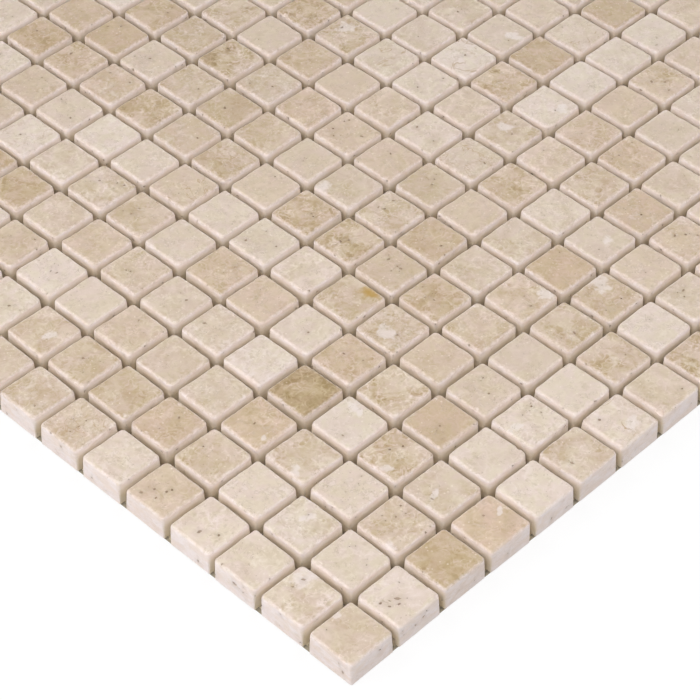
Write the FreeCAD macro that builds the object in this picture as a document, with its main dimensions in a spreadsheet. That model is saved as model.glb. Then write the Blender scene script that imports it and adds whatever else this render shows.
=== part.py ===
import FreeCAD
import Part
import Sketcher
import os

# Mosaic tile sheet of small stone squares on a glass-fibre net.
# Row frame: millimetres, +Z up through the tiles' faces, the origin under the middle of the sheet.
# X runs along a row of tiles and Y runs from row to row. The net lies on Z = 0.

Vector = FreeCAD.Vector

# How a sketch names its points and its own axes.
START, END = 1, 2
HORIZONTAL_AXIS = -1
ORIGIN = (-1, 1)

# Driving dimensions: alias, value in millimetres or as a count, what it is.
DIMENSIONS = [
    ("tile_side", 15.0, "side of one square tile"),
    ("tile_thickness", 7.6, "thickness of one tile"),
    ("joint_width", 2.0, "open joint between two tiles"),
    ("columns", 18, "tiles along one row"),
    ("rows", 18, "rows of tiles"),
    ("arris_width", 0.9, "width of the worn arris round a tile's face"),
    ("corner_wear", 0.8, "leg of the worn corner at the foot of the arris"),
    ("corner_nose", 0.6, "leg of the worn corner beyond the arris, on the face"),
    ("net_spacing", 5.0, "distance from one yarn to the next"),
    ("net_inset", 1.0, "how far the net stops short of the tiles' outer edge"),
    ("yarn_width", 1.0, "width of one flat yarn"),
    ("yarn_thickness", 0.2, "thickness of one flat yarn"),
]

# Sizes worked out from the driving dimensions, as expressions on the sheet.
PITCH = "(dims.tile_side + dims.joint_width)"
HALF_DIAGONAL = "dims.tile_side / sqrt(2)"
NET_LENGTH = f"(dims.columns * {PITCH} - dims.joint_width - 2 * dims.net_inset)"
NET_WIDTH = f"(dims.rows * {PITCH} - dims.joint_width - 2 * dims.net_inset)"


def yarn_count(span):
    """Expression for the number of yarns that fit side by side in a span of the net."""
    return f"(floor(({span} - dims.yarn_width) / dims.net_spacing) + 1)"


def make_dimension_sheet(doc):
    """The spreadsheet that drives every size of the model."""
    sheet = doc.addObject("Spreadsheet::Sheet", "dims")
    for line, (alias, value, meaning) in enumerate(DIMENSIONS, start=1):
        sheet.set(f"A{line}", meaning)
        sheet.set(f"B{line}", str(value))
        sheet.setAlias(f"B{line}", alias)
    doc.recompute()
    return sheet


def value_of(sheet, expression):
    """An expression's present value, in millimetres."""
    return float(sheet.evalExpression(expression))


def origin_feature(body, role):
    """A plane or an axis of the body's own origin."""
    return next(f for f in body.Origin.OriginFeatures if f.Role == role)


def add_sketch(body, name, plane_role):
    """An empty sketch on one of the body's origin planes."""
    sketch = body.newObject("Sketcher::SketchObject", name)
    sketch.AttachmentSupport = (origin_feature(body, plane_role), "")
    sketch.MapMode = "FlatFace"
    return sketch


def draw_closed_outline(sketch, points):
    """Straight lines from point to point and back to the first, joined end to end."""
    corners = [Vector(x, y, 0) for x, y in points]
    for start, end in zip(corners, corners[1:] + corners[:1]):
        sketch.addGeometry(Part.LineSegment(start, end))
    count = len(corners)
    for line in range(count):
        following = (line + 1) % count
        joined = Sketcher.Constraint("Coincident", line, END, following, START)
        sketch.addConstraint(joined)


def bind_distance(sketch, sheet, kind, first, second, expression):
    """A distance along one axis between two sketch points, held to an expression."""
    distance = Sketcher.Constraint(kind, *first, *second, value_of(sheet, expression))
    index = sketch.addConstraint(distance)
    sketch.setExpression(f"Constraints[{index}]", expression)


def draw_centred_rectangle(sketch, sheet, width, height):
    """A rectangle about the sketch's origin. Width and height are expressions on the sheet."""
    half_width = value_of(sheet, width) / 2
    half_height = value_of(sheet, height) / 2
    corners = [
        (-half_width, -half_height),
        (half_width, -half_height),
        (half_width, half_height),
        (-half_width, half_height),
    ]
    draw_closed_outline(sketch, corners)
    for line, direction in enumerate(("Horizontal", "Vertical", "Horizontal", "Vertical")):
        sketch.addConstraint(Sketcher.Constraint(direction, line))
    bottom, right, top = 0, 1, 2
    about_origin = Sketcher.Constraint("Symmetric", bottom, START, top, START, *ORIGIN)
    sketch.addConstraint(about_origin)
    bind_distance(sketch, sheet, "DistanceX", (bottom, START), (bottom, END), width)
    bind_distance(sketch, sheet, "DistanceY", (right, START), (right, END), height)


def add_pad(body, name, sketch, height):
    """A pad of a sketch, upwards, to a height given as an expression."""
    pad = body.newObject("PartDesign::Pad", name)
    pad.Profile = sketch
    pad.setExpression("Length", height)
    body.Document.recompute()
    return pad


def add_row_pattern(body, name, axis_role, spacing, count):
    """Copies of the whole body at equal steps along one axis, as separate solids."""
    pattern = body.newObject("PartDesign::LinearPattern", name)
    pattern.TransformMode = "Whole shape"
    pattern.Direction = (origin_feature(body, axis_role), [""])
    pattern.setExpression("Occurrences", count)
    pattern.setExpression("Length", f"({count} - 1) * {spacing}")
    body.Tip = pattern
    body.Document.recompute()
    return pattern


def add_arris(body, blank, thickness):
    """The worn arris: a chamfer round the top face of the tile."""
    top = next(
        number
        for number, face in enumerate(blank.Shape.Faces, start=1)
        if face.BoundBox.ZMin > 0.5 * thickness
    )
    arris = body.newObject("PartDesign::Chamfer", "arris")
    arris.Base = (blank, [f"Face{top}"])
    arris.setExpression("Size", "dims.arris_width")
    body.Tip = arris
    body.Document.recompute()
    return arris


def draw_corner_profile(sketch, sheet):
    """What wear takes off one corner, drawn on the upright plane through the tile's diagonal.

    The corner is sharp at the tile's back, loses corner_wear at the foot of the arris and is
    rounded off over the arris, to corner_nose on the face. The outline's outer side stands
    clear of the tile.
    """
    outside = f"{HALF_DIAGONAL} + dims.corner_wear"
    nose = f"{HALF_DIAGONAL} - (2 * dims.arris_width + dims.corner_nose) / sqrt(2)"
    shoulder = f"{HALF_DIAGONAL} - dims.corner_wear / sqrt(2)"
    back, face = "0", "dims.tile_thickness"
    arris_foot = "dims.tile_thickness - dims.arris_width"
    points = [
        (HALF_DIAGONAL, back),
        (outside, back),
        (outside, face),
        (nose, face),
        (shoulder, arris_foot),
    ]
    draw_closed_outline(sketch, [(value_of(sheet, x), value_of(sheet, y)) for x, y in points])
    for line, (along, up) in enumerate(points):
        point = (line, START)
        bind_distance(sketch, sheet, "DistanceX", ORIGIN, point, along)
        if up == back:
            sketch.addConstraint(Sketcher.Constraint("PointOnObject", *point, HORIZONTAL_AXIS))
        else:
            bind_distance(sketch, sheet, "DistanceY", ORIGIN, point, up)


def add_worn_corners(body, sheet):
    """The four upright corners, worn towards the face and sharp at the back."""
    sketch = add_sketch(body, "corner_profile", "XZ_Plane")
    sketch.AttachmentOffset = FreeCAD.Placement(
        Vector(0, 0, 0), FreeCAD.Rotation(Vector(0, 1, 0), 45)
    )
    draw_corner_profile(sketch, sheet)
    corner = body.newObject("PartDesign::Pocket", "worn_corner")
    corner.Profile = sketch
    corner.SideType = "Symmetric"
    corner.setExpression("Length", "dims.tile_side")
    body.Document.recompute()
    corners = body.newObject("PartDesign::PolarPattern", "worn_corners")
    corners.Originals = [corner]
    corners.Axis = (origin_feature(body, "Z_Axis"), [""])
    corners.Angle = 360
    corners.Occurrences = 4
    body.Tip = corners
    body.Document.recompute()
    return corners


def make_tile_row(doc, sheet, row):
    """One row of separate tiles, standing on the net."""
    body = doc.addObject("PartDesign::Body", f"tile_row_{row + 1:02d}")
    body.Label = f"tile_row_{row + 1:02d}"
    body.AllowCompound = True
    outline = add_sketch(body, "tile_outline", "XY_Plane")
    draw_centred_rectangle(outline, sheet, "dims.tile_side", "dims.tile_side")
    blank = add_pad(body, "sawn_blank", outline, "dims.tile_thickness")
    add_arris(body, blank, sheet.tile_thickness)
    add_worn_corners(body, sheet)
    add_row_pattern(body, "tiles_in_row", "X_Axis", PITCH, "dims.columns")
    body.setExpression("Placement.Base.x", f"-(dims.columns - 1) / 2 * {PITCH}")
    body.setExpression("Placement.Base.y", f"({row} - (dims.rows - 1) / 2) * {PITCH}")
    body.setExpression("Placement.Base.z", "2 * dims.yarn_thickness")
    return body


def make_yarn_layer(doc, sheet, name, width, height, axis, span):
    """One layer of the net: parallel flat yarns, spread along an axis over a span."""
    body = doc.addObject("PartDesign::Body", name)
    body.Label = name
    body.AllowCompound = True
    section = add_sketch(body, "yarn_outline", "XY_Plane")
    draw_centred_rectangle(section, sheet, width, height)
    add_pad(body, "flat_yarn", section, "dims.yarn_thickness")
    count = yarn_count(span)
    add_row_pattern(body, "yarns", f"{axis}_Axis", "dims.net_spacing", count)
    body.setExpression(
        f"Placement.Base.{axis.lower()}", f"-({count} - 1) / 2 * dims.net_spacing"
    )
    return body


def make_net(doc, sheet):
    """The laid net: warp yarns underneath and weft yarns on top, bonded where they cross."""
    yarn = "dims.yarn_width"
    warp = make_yarn_layer(doc, sheet, "net_warp", yarn, NET_WIDTH, "X", NET_LENGTH)
    weft = make_yarn_layer(doc, sheet, "net_weft", NET_LENGTH, yarn, "Y", NET_WIDTH)
    weft.setExpression("Placement.Base.z", "dims.yarn_thickness")
    return [warp, weft]


def check_document(doc, pieces):
    """Stops if any object failed or a piece isn't as many valid solids as its pattern has."""
    failed = [o.Name for o in doc.Objects if {"Invalid", "Error"} & set(o.State)]
    if failed:
        raise RuntimeError(f"these objects failed: {failed}")
    for piece in pieces:
        shape = piece.Shape
        if shape.isNull() or not shape.isValid():
            raise RuntimeError(f"{piece.Label} has no valid shape")
        wanted = piece.Tip.Occurrences
        if len(shape.Solids) != wanted:
            raise RuntimeError(f"{piece.Label} has {len(shape.Solids)} solids, not {wanted}")


def main():
    """Builds the sheet and writes each piece to its own STEP file."""
    doc = FreeCAD.newDocument("mosaic_tile_sheet")
    sheet = make_dimension_sheet(doc)
    pieces = [make_tile_row(doc, sheet, row) for row in range(int(sheet.rows))]
    pieces += make_net(doc, sheet)
    doc.recompute()
    check_document(doc, pieces)
    os.makedirs("parts", exist_ok=True)
    for piece in pieces:
        piece.Shape.exportStep(f"parts/{piece.Label}.step")
        print(piece.Label, len(piece.Shape.Solids), round(piece.Shape.Volume, 1))


main()
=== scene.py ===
"""Looks of a tumbled travertine mosaic sheet: worn, pitted stone tiles on a glass-fibre net.

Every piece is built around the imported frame. A tile is shaped in millimetres about its own middle,
with its back at height 0, and goes into the scene in metres.
"""

import logging
import math
from collections.abc import Mapping, Sequence
from dataclasses import dataclass, field, fields
from enum import Enum
from typing import ClassVar

import bpy
import numpy as np
from mathutils import Matrix, Vector
from mathutils.geometry import delaunay_2d_cdt


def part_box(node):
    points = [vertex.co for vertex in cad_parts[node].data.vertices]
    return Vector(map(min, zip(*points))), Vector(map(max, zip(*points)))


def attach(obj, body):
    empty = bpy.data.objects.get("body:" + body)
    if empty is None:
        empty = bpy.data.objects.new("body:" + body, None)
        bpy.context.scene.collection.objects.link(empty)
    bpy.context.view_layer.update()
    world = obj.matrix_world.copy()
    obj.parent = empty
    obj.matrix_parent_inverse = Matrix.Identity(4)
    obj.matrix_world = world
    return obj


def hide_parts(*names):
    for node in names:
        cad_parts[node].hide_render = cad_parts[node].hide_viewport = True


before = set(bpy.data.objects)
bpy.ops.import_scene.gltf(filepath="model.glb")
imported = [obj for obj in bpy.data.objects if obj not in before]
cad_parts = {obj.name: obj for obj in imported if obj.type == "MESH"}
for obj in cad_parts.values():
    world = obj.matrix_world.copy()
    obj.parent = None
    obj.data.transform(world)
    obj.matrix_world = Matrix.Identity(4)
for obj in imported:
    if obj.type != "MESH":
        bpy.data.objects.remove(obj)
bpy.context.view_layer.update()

LOG = logging.getLogger("mosaic")
MM = 0.001
SEED = 20
NET_DRAWS = 1000
BODY = "root"
ROW_PREFIX = "tile_row_"
Array = np.ndarray
Random = np.random.Generator
Socket = bpy.types.NodeSocket
Sockets = bpy.types.bpy_prop_collection
Value = float | tuple[float, ...] | Socket
Colour = tuple[float, float, float, float]


WHITE: Colour = (1.0, 1.0, 1.0, 1.0)


def srgb(red: int, green: int, blue: int) -> Colour:
    """A colour as seen on a screen, 0 to 255, in the linear values that a shader takes.

    Args:
        red: Red, 0 to 255.
        green: Green, 0 to 255.
        blue: Blue, 0 to 255.

    Returns:
        The linear colour with full alpha.
    """
    parts = [c / 255 for c in (red, green, blue)]
    linear = [c / 12.92 if c <= 0.04045 else ((c + 0.055) / 1.055) ** 2.4 for c in parts]
    return (*linear, 1.0)


def row_node(row: int) -> str:
    """The frame's node for a row of tiles, counted from 0."""
    return f"{ROW_PREFIX}{row + 1:02d}"


def box_in_mm(node: str) -> tuple[Array, Array]:
    """Lowest and highest corner of a frame's node, in millimetres."""
    low, high = (np.array(corner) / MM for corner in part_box(node))
    return low, high


# Layout


@dataclass(frozen=True)
class SheetLayout:
    """Where the tiles lie, in millimetres, as the frame has them.

    Attributes:
        side: Side of a tile.
        joint: Open joint between two tiles.
        back: Height of the tiles' backs above the floor.
        thickness: Thickness of a tile.
        rows: Number of rows.
        columns: Number of tiles in a row.
    """

    side: float
    joint: float
    back: float
    thickness: float
    rows: int
    columns: int

    @classmethod
    def from_frame(cls) -> "SheetLayout":
        """Reads the layout from the boxes of the first two rows.

        Returns:
            The layout.
        """
        low, high = box_in_mm(row_node(0))
        pitch = box_in_mm(row_node(1))[0][1] - low[1]
        side = high[1] - low[1]
        joint = pitch - side
        rows = sum(name.startswith(ROW_PREFIX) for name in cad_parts)
        columns = round((high[0] - low[0] + joint) / pitch)
        return cls(side, joint, low[2], high[2] - low[2], rows, columns)

    @property
    def pitch(self) -> float:
        """Distance from one tile to the next."""
        return self.side + self.joint

    def centre(self, row: int, column: int) -> tuple[float, float]:
        """Middle of a tile in plan.

        Args:
            row: Row, counted from 0 along +Y.
            column: Place in the row, counted from 0 along +X.

        Returns:
            X and Y.
        """
        return (
            (column - (self.columns - 1) / 2) * self.pitch,
            (row - (self.rows - 1) / 2) * self.pitch,
        )

    @property
    def half_extent(self) -> tuple[float, float]:
        """Half of the sheet's size along X and along Y."""
        return (
            (self.columns * self.pitch - self.joint) / 2,
            (self.rows * self.pitch - self.joint) / 2,
        )


# Stone


@dataclass(frozen=True)
class StoneNature:
    """What one tile's stone looks like. Each value runs from 0 to 1.

    Attributes:
        tone: Dark tan to pale ivory.
        clouding: Even to strongly clouded.
        warmth: Neutral to pinkish orange.
        calcite: Share of whitish crystalline patches.
        veining: No veins to clear wavy ones.
        porosity: Tight to full of pits.
    """

    tone: float
    clouding: float = 0.3
    warmth: float = 0.2
    calcite: float = 0.1
    veining: float = 0.0
    porosity: float = 0.2


NATURE_NAMES = tuple(entry.name for entry in fields(StoneNature))


class Grade(Enum):
    """Kinds of stone that tiles are cut from, each with how often it comes and its usual nature."""

    IVORY = (0.17, StoneNature(0.70, 0.25, 0.12, 0.22, 0.05, 0.18))
    CREAM = (0.27, StoneNature(0.60, 0.32, 0.22, 0.14, 0.05, 0.22))
    BEIGE = (0.29, StoneNature(0.52, 0.42, 0.30, 0.12, 0.05, 0.26))
    SAND = (0.17, StoneNature(0.45, 0.50, 0.36, 0.14, 0.10, 0.32))
    TAN = (0.10, StoneNature(0.37, 0.58, 0.36, 0.14, 0.12, 0.34))

    @property
    def share(self) -> float:
        """How often the kind comes."""
        return self.value[0]

    @property
    def nature(self) -> StoneNature:
        """The kind's usual nature."""
        return self.value[1]


# What stands out in some tiles, with the share of tiles that have it and its lowest and highest value
ODDITIES = {
    "calcite": (0.12, 0.3, 0.5),
    "veining": (0.08, 0.4, 0.9),
    "porosity": (0.10, 0.5, 0.85),
}


@dataclass(frozen=True)
class Mark:
    """A pit or a chip, listed for one tile.

    Attributes:
        x: Place from the tile's middle along X, in millimetres.
        y: Place from the tile's middle along Y, in millimetres.
        size: Radius in millimetres.
        height: Height above the tile's back where the mark is in a wall, in millimetres.
    """

    x: float
    y: float
    size: float
    height: float = 0.0


@dataclass(frozen=True)
class Patch:
    """An oval area of another colour.

    Attributes:
        x: Place of its middle from the tile's middle along X, in millimetres.
        y: Place of its middle from the tile's middle along Y, in millimetres.
        length: Half of its length.
        width: Half of its width.
        turn: Direction of its length, in degrees.
    """

    x: float
    y: float
    length: float
    width: float
    turn: float = 0.0

    def reach(self, points: Array) -> Array:
        """Where points lie in the patch: its edge is at a distance of 1.

        Args:
            points: One row of X, Y and Z for each point.

        Returns:
            One row of three for each point.
        """
        away = points[:, :2] - (self.x, self.y)
        cos, sin = math.cos(math.radians(self.turn)), math.sin(math.radians(self.turn))
        along = (cos * away[:, 0] + sin * away[:, 1]) / self.length
        across = (cos * away[:, 1] - sin * away[:, 0]) / self.width
        return np.column_stack([along, across, np.zeros(len(points))])


NOWHERE = Patch(99.0, 99.0, 1.0, 1.0)


@dataclass(frozen=True)
class Accent:
    """A tile that stands out in the sheet.

    Attributes:
        row: Row, counted from 0.
        column: Place in the row, counted from 0.
        nature: Its stone.
        pits: Pits in its face.
        wall_pits: Pits in its walls.
        chips: Chips out of its arris.
        crystal: Its whitish crystalline patch.
        rust: Its stain of iron.
    """

    row: int
    column: int
    nature: StoneNature
    pits: tuple[Mark, ...] = ()
    wall_pits: tuple[Mark, ...] = ()
    chips: tuple[Mark, ...] = ()
    crystal: Patch = NOWHERE
    rust: Patch = NOWHERE


ACCENTS = (
    Accent(
        0, 0, StoneNature(0.54, 0.42, 0.14, 0.06, 0.0, 0.06),
        wall_pits=(
            Mark(-7.5, -4.0, 0.34, 2.6),
            Mark(-7.5, -3.0, 0.3, 4.9),
            Mark(2.5, -7.5, 0.3, 5.0),
        ),
        chips=(Mark(-7.0, -4.6, 0.9),),
        crystal=Patch(1.7, 6.6, 1.6, 1.2),
    ),
    Accent(
        1, 0, StoneNature(0.63, 0.70, 0.18, 0.10, 0.0, 0.08),
        pits=(Mark(3.8, 3.4, 0.42), Mark(0.3, 3.6, 0.3)),
        wall_pits=(Mark(-7.5, 0.3, 0.3, 6.3), Mark(-7.5, -5.6, 0.34, 1.0)),
        crystal=Patch(4.6, 3.4, 5.2, 3.4, 12.0),
    ),
    Accent(
        2, 0, StoneNature(0.70, 0.36, 0.14, 0.05, 0.0, 0.06),
        wall_pits=(Mark(-7.5, 0.0, 0.5, 4.4),),
        chips=(Mark(7.2, -5.6, 1.0),),
    ),
    Accent(
        3, 0, StoneNature(0.73, 0.38, 0.20, 0.05, 0.0, 0.08),
        pits=(Mark(-3.5, 0.0, 0.42), Mark(-1.0, -4.5, 0.42)),
    ),
    Accent(
        4, 0, StoneNature(0.53, 0.40, 0.42, 0.05, 0.0, 0.20),
        pits=(Mark(-5.0, 3.6, 0.5), Mark(-1.8, 2.0, 0.4), Mark(1.2, -1.4, 0.4)),
    ),
    Accent(
        0, 1, StoneNature(0.73, 0.28, 0.06, 0.10, 0.0, 0.10),
        pits=(
            Mark(-5.0, 1.4, 0.48),
            Mark(-4.2, -0.9, 0.34),
            Mark(-0.9, -0.6, 0.5),
            Mark(-1.9, -2.1, 0.34),
            Mark(-2.9, 0.3, 0.22),
            Mark(3.1, 2.7, 0.22),
        ),
        wall_pits=(
            Mark(1.0, -7.5, 0.4, 4.2),
            Mark(-1.6, -7.5, 0.34, 3.4),
            Mark(2.2, -7.5, 0.3, 5.6),
        ),
        chips=(Mark(7.0, -2.6, 1.1), Mark(6.4, -6.8, 1.2), Mark(7.3, 3.0, 0.8)),
    ),
    Accent(0, 2, StoneNature(0.28, 0.45, 0.20, 0.03, 0.0, 0.04)),
    Accent(
        0, 3, StoneNature(0.49, 0.40, 0.70, 0.10, 0.0, 0.03),
        pits=(Mark(0.5, 2.9, 0.34),),
        crystal=Patch(4.6, 1.0, 1.8, 1.0, 30.0),
    ),
    Accent(
        1, 1, StoneNature(0.69, 0.25, 0.04, 0.06, 0.0, 0.12),
        pits=(Mark(2.6, 3.0, 0.22), Mark(3.8, 2.0, 0.2), Mark(1.2, -4.4, 0.22)),
    ),
    Accent(
        1, 2, StoneNature(0.50, 0.62, 0.22, 0.12, 0.0, 0.24),
        pits=(Mark(5.0, 3.4, 0.32), Mark(1.4, 1.6, 0.26), Mark(4.0, 0.6, 0.26)),
        crystal=Patch(-6.8, -4.6, 2.4, 2.2),
    ),
    Accent(
        1, 3, StoneNature(0.53, 0.40, 0.10, 0.06, 0.0, 0.04),
        pits=(Mark(-4.6, -0.8, 0.34),),
        crystal=Patch(-3.9, -0.6, 4.4, 1.0, 24.0),
    ),
    Accent(1, 4, StoneNature(0.69, 0.24, 0.08, 0.08, 0.0, 0.06), chips=(Mark(7.2, -4.1, 1.2),)),
    Accent(1, 7, StoneNature(0.46, 0.75, 0.22, 0.08, 0.0, 0.55)),
    Accent(
        2, 1, StoneNature(0.67, 0.55, 0.02, 0.14, 0.0, 0.14),
        crystal=Patch(2.6, 0.4, 2.4, 1.6, -20.0),
    ),
    Accent(
        2, 3, StoneNature(0.46, 0.90, 0.30, 0.12, 0.0, 0.12),
        pits=(Mark(0.1, 2.1, 0.4), Mark(3.4, 0.5, 0.4)),
        crystal=Patch(-5.0, -2.6, 2.4, 1.4, -40.0),
    ),
    Accent(
        3, 2, StoneNature(0.50, 0.70, 0.15, 0.12, 0.0, 0.10),
        crystal=Patch(-6.0, -3.0, 2.6, 1.5, 50.0),
    ),
    Accent(
        3, 3, StoneNature(0.72, 0.18, 0.0, 0.12, 0.0, 0.03),
        crystal=Patch(4.8, 3.0, 3.4, 2.0, 80.0),
    ),
    Accent(3, 4, StoneNature(0.46, 1.0, 0.25, 0.06, 0.0, 0.20)),
    Accent(
        4, 2, StoneNature(0.45, 0.50, 0.60, 0.12, 0.0, 0.12),
        pits=(Mark(-1.0, 0.4, 0.3),),
        crystal=Patch(-3.0, -5.2, 1.4, 0.9, 40.0),
    ),
    Accent(4, 3, StoneNature(0.16, 0.55, 0.06, 0.03, 0.0, 0.04)),
    Accent(
        5, 4, StoneNature(0.66, 0.3, 0.10, 0.06, 0.0, 0.03),
        pits=(Mark(-5.2, -2.1, 0.34), Mark(-0.8, -1.8, 0.36)),
    ),
    Accent(
        5, 5, StoneNature(0.44, 0.60, 0.20, 0.10, 0.0, 0.10),
        rust=Patch(5.5, -2.8, 3.6, 2.9, 90.0),
    ),
    Accent(6, 1, StoneNature(0.38, 0.50, 0.12, 0.06, 0.0, 0.10)),
    Accent(7, 3, StoneNature(0.59, 0.36, 0.14, 0.06, 0.0, 0.06), pits=(Mark(1.6, -2.6, 0.4),)),
    Accent(
        0, 6, StoneNature(0.70, 0.40, 0.15, 0.20, 0.9, 0.10),
        pits=(Mark(-3.8, 3.9, 0.4),),
        crystal=Patch(1.0, -3.0, 4.0, 2.0, 30.0),
    ),
    Accent(0, 7, StoneNature(0.58, 0.50, 0.22, 0.05, 0.0, 0.12), chips=(Mark(-6.9, -5.6, 1.8),)),
)


# Tile


@dataclass(frozen=True)
class Wear:
    """How far tumbling differs from tile to tile.

    Attributes:
        inset: Most that a tile is short of its size on each side, in millimetres.
        corner: Range of a corner's radius at the face, as a share of the usual one.
        corner_back: The same at the back.
        arris: Range of the arris's radius, as a share of the usual one.
        ripple: How much the arris's radius swings round the tile.
        ripple_fall: How fast the swing falls off with the number of waves round the tile.
        ripple_counts: Numbers of waves round the tile.
        swell: Shortest and longest wave of the broad unevenness, in millimetres.
        swell_depth: Its depth in the walls, in millimetres.
        grit: Shortest and longest wave of the fine unevenness, in millimetres.
        grit_depth: Its depth in the walls, in millimetres.
        rim_depth: How deep the face's rim lies, in millimetres.
        honing: Share of the unevenness that honing leaves on the face.
        chip_rim: How ragged a chip's rim is, as a share of its radius.
        soil_and_shade_top: How far below the face the joint's dust and painted shade end, in
            millimetres.
        soil_and_shade_fade: Height over which they fade, in millimetres.
        edge_wear: Wear of the face at its rim, and how far in it fades.
        corner_wear: The same at its corners.
    """

    inset: float = 0.04
    corner: tuple[float, float] = (0.75, 1.35)
    corner_back: tuple[float, float] = (0.7, 1.6)
    arris: tuple[float, float] = (0.9, 1.12)
    ripple: float = 0.24
    ripple_fall: float = 0.7
    ripple_counts: range = range(2, 13)
    swell: tuple[float, float] = (4.0, 11.0)
    swell_depth: float = 0.07
    grit: tuple[float, float] = (1.6, 3.0)
    grit_depth: float = 0.04
    rim_depth: float = 0.035
    honing: float = 0.02
    chip_rim: float = 0.16
    soil_and_shade_top: float = 1.0
    soil_and_shade_fade: float = 2.6
    edge_wear: tuple[float, float] = (0.3, 0.8)
    corner_wear: tuple[float, float] = (0.2, 2.2)


@dataclass(frozen=True)
class TileForm:
    """The shape that tumbling leaves on a sawn tile, in millimetres.

    Attributes:
        half_side: Half of the tile's side.
        thickness: Its thickness.
        arris: Usual radius of the worn arris round the face.
        corner: Usual radius of an upright corner at the face.
        corner_back: Usual radius of an upright corner at the back.
        corner_taper: The higher, the lower down a corner keeps its radius at the back.
        least_radius: Least radius of a corner anywhere.
        half_side_steps: Number of steps from the middle of a side to its end.
        corner_steps: Number of steps round a corner.
        wall_levels: Heights of the wall's rings, as shares of the wall.
        arris_steps: Number of steps over the arris.
        fine_step: Distance between points in a chip.
        fine_shift: How far such a point may be off its place.
        clear: Least distance between neighbouring points or pits.
        face_inset: Distance from the face's rim to its first ring of points.
        face_ring: Number of points in that ring.
        face_reach: How far the face's grid of points reaches from the middle.
        face_step: Distance between points of that grid.
        face_shift: How far such a point may be off its place.
        wear: How far tiles differ.
    """

    half_side: float
    thickness: float
    arris: float = 0.92
    corner: float = 1.3
    corner_back: float = 0.38
    corner_taper: float = 1.5
    least_radius: float = 0.3
    half_side_steps: int = 5
    corner_steps: int = 5
    wall_levels: tuple[float, ...] = (0.0, 0.36, 0.7, 1.0)
    arris_steps: int = 4
    fine_step: float = 0.3
    fine_shift: float = 0.06
    clear: float = 0.12
    face_inset: float = 0.75
    face_ring: int = 40
    face_reach: float = 4.4
    face_step: float = 2.2
    face_shift: float = 0.5
    wear: Wear = Wear()

    @property
    def corner_run(self) -> float:
        """Way round one corner."""
        return 0.5 * math.pi * self.corner

    @property
    def side_run(self) -> float:
        """Way along one side between its corners."""
        return 2 * (self.half_side - self.corner)

    @property
    def length(self) -> float:
        """Way all round the tile."""
        return 4 * (self.corner_run + self.side_run)

    @property
    def wall(self) -> float:
        """Way up the wall to the arris."""
        return self.thickness - self.arris

    @property
    def height(self) -> float:
        """Way up the wall and over the arris."""
        return self.wall + 0.5 * math.pi * self.arris

    def stations(self) -> Array:
        """Places round the tile where every ring has a point. The first is the middle of a side."""
        half = 0.5 * self.side_run
        along = np.linspace(0, half, self.half_side_steps + 1)[:-1]
        bend = half + np.linspace(0, self.corner_run, self.corner_steps + 1)[:-1]
        leg = np.concatenate([along, bend, half + self.corner_run + along])
        return np.concatenate([k * (self.corner_run + self.side_run) + leg for k in range(4)])


@dataclass(frozen=True)
class PitHabit:
    """How many random pits a surface has and how wide they are.

    Attributes:
        fewest: Usual number in the tightest stone.
        porous: How many more the most porous stone has.
        bias: The higher, the fewer of these a middling stone has.
        narrowest: Least radius, in millimetres.
        spread: How much wider the widest pit is, in millimetres.
        rarity: The higher, the rarer the wide ones.
    """

    fewest: float
    porous: float
    bias: float
    narrowest: float
    spread: float
    rarity: float

    def count(self, porosity: float, rng: Random) -> int:
        """A number of pits for a stone of a given porosity."""
        return rng.poisson(self.fewest + self.porous * porosity**self.bias)

    def radius(self, rng: Random) -> float:
        """The radius of one pit."""
        return self.narrowest + self.spread * rng.uniform() ** self.rarity


WALL_PITS = PitHabit(6.0, 22.0, 1.0, 0.12, 0.3, 2.0)
FACE_PITS = PitHabit(0.4, 14.0, 1.6, 0.12, 0.3, 2.4)


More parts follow.
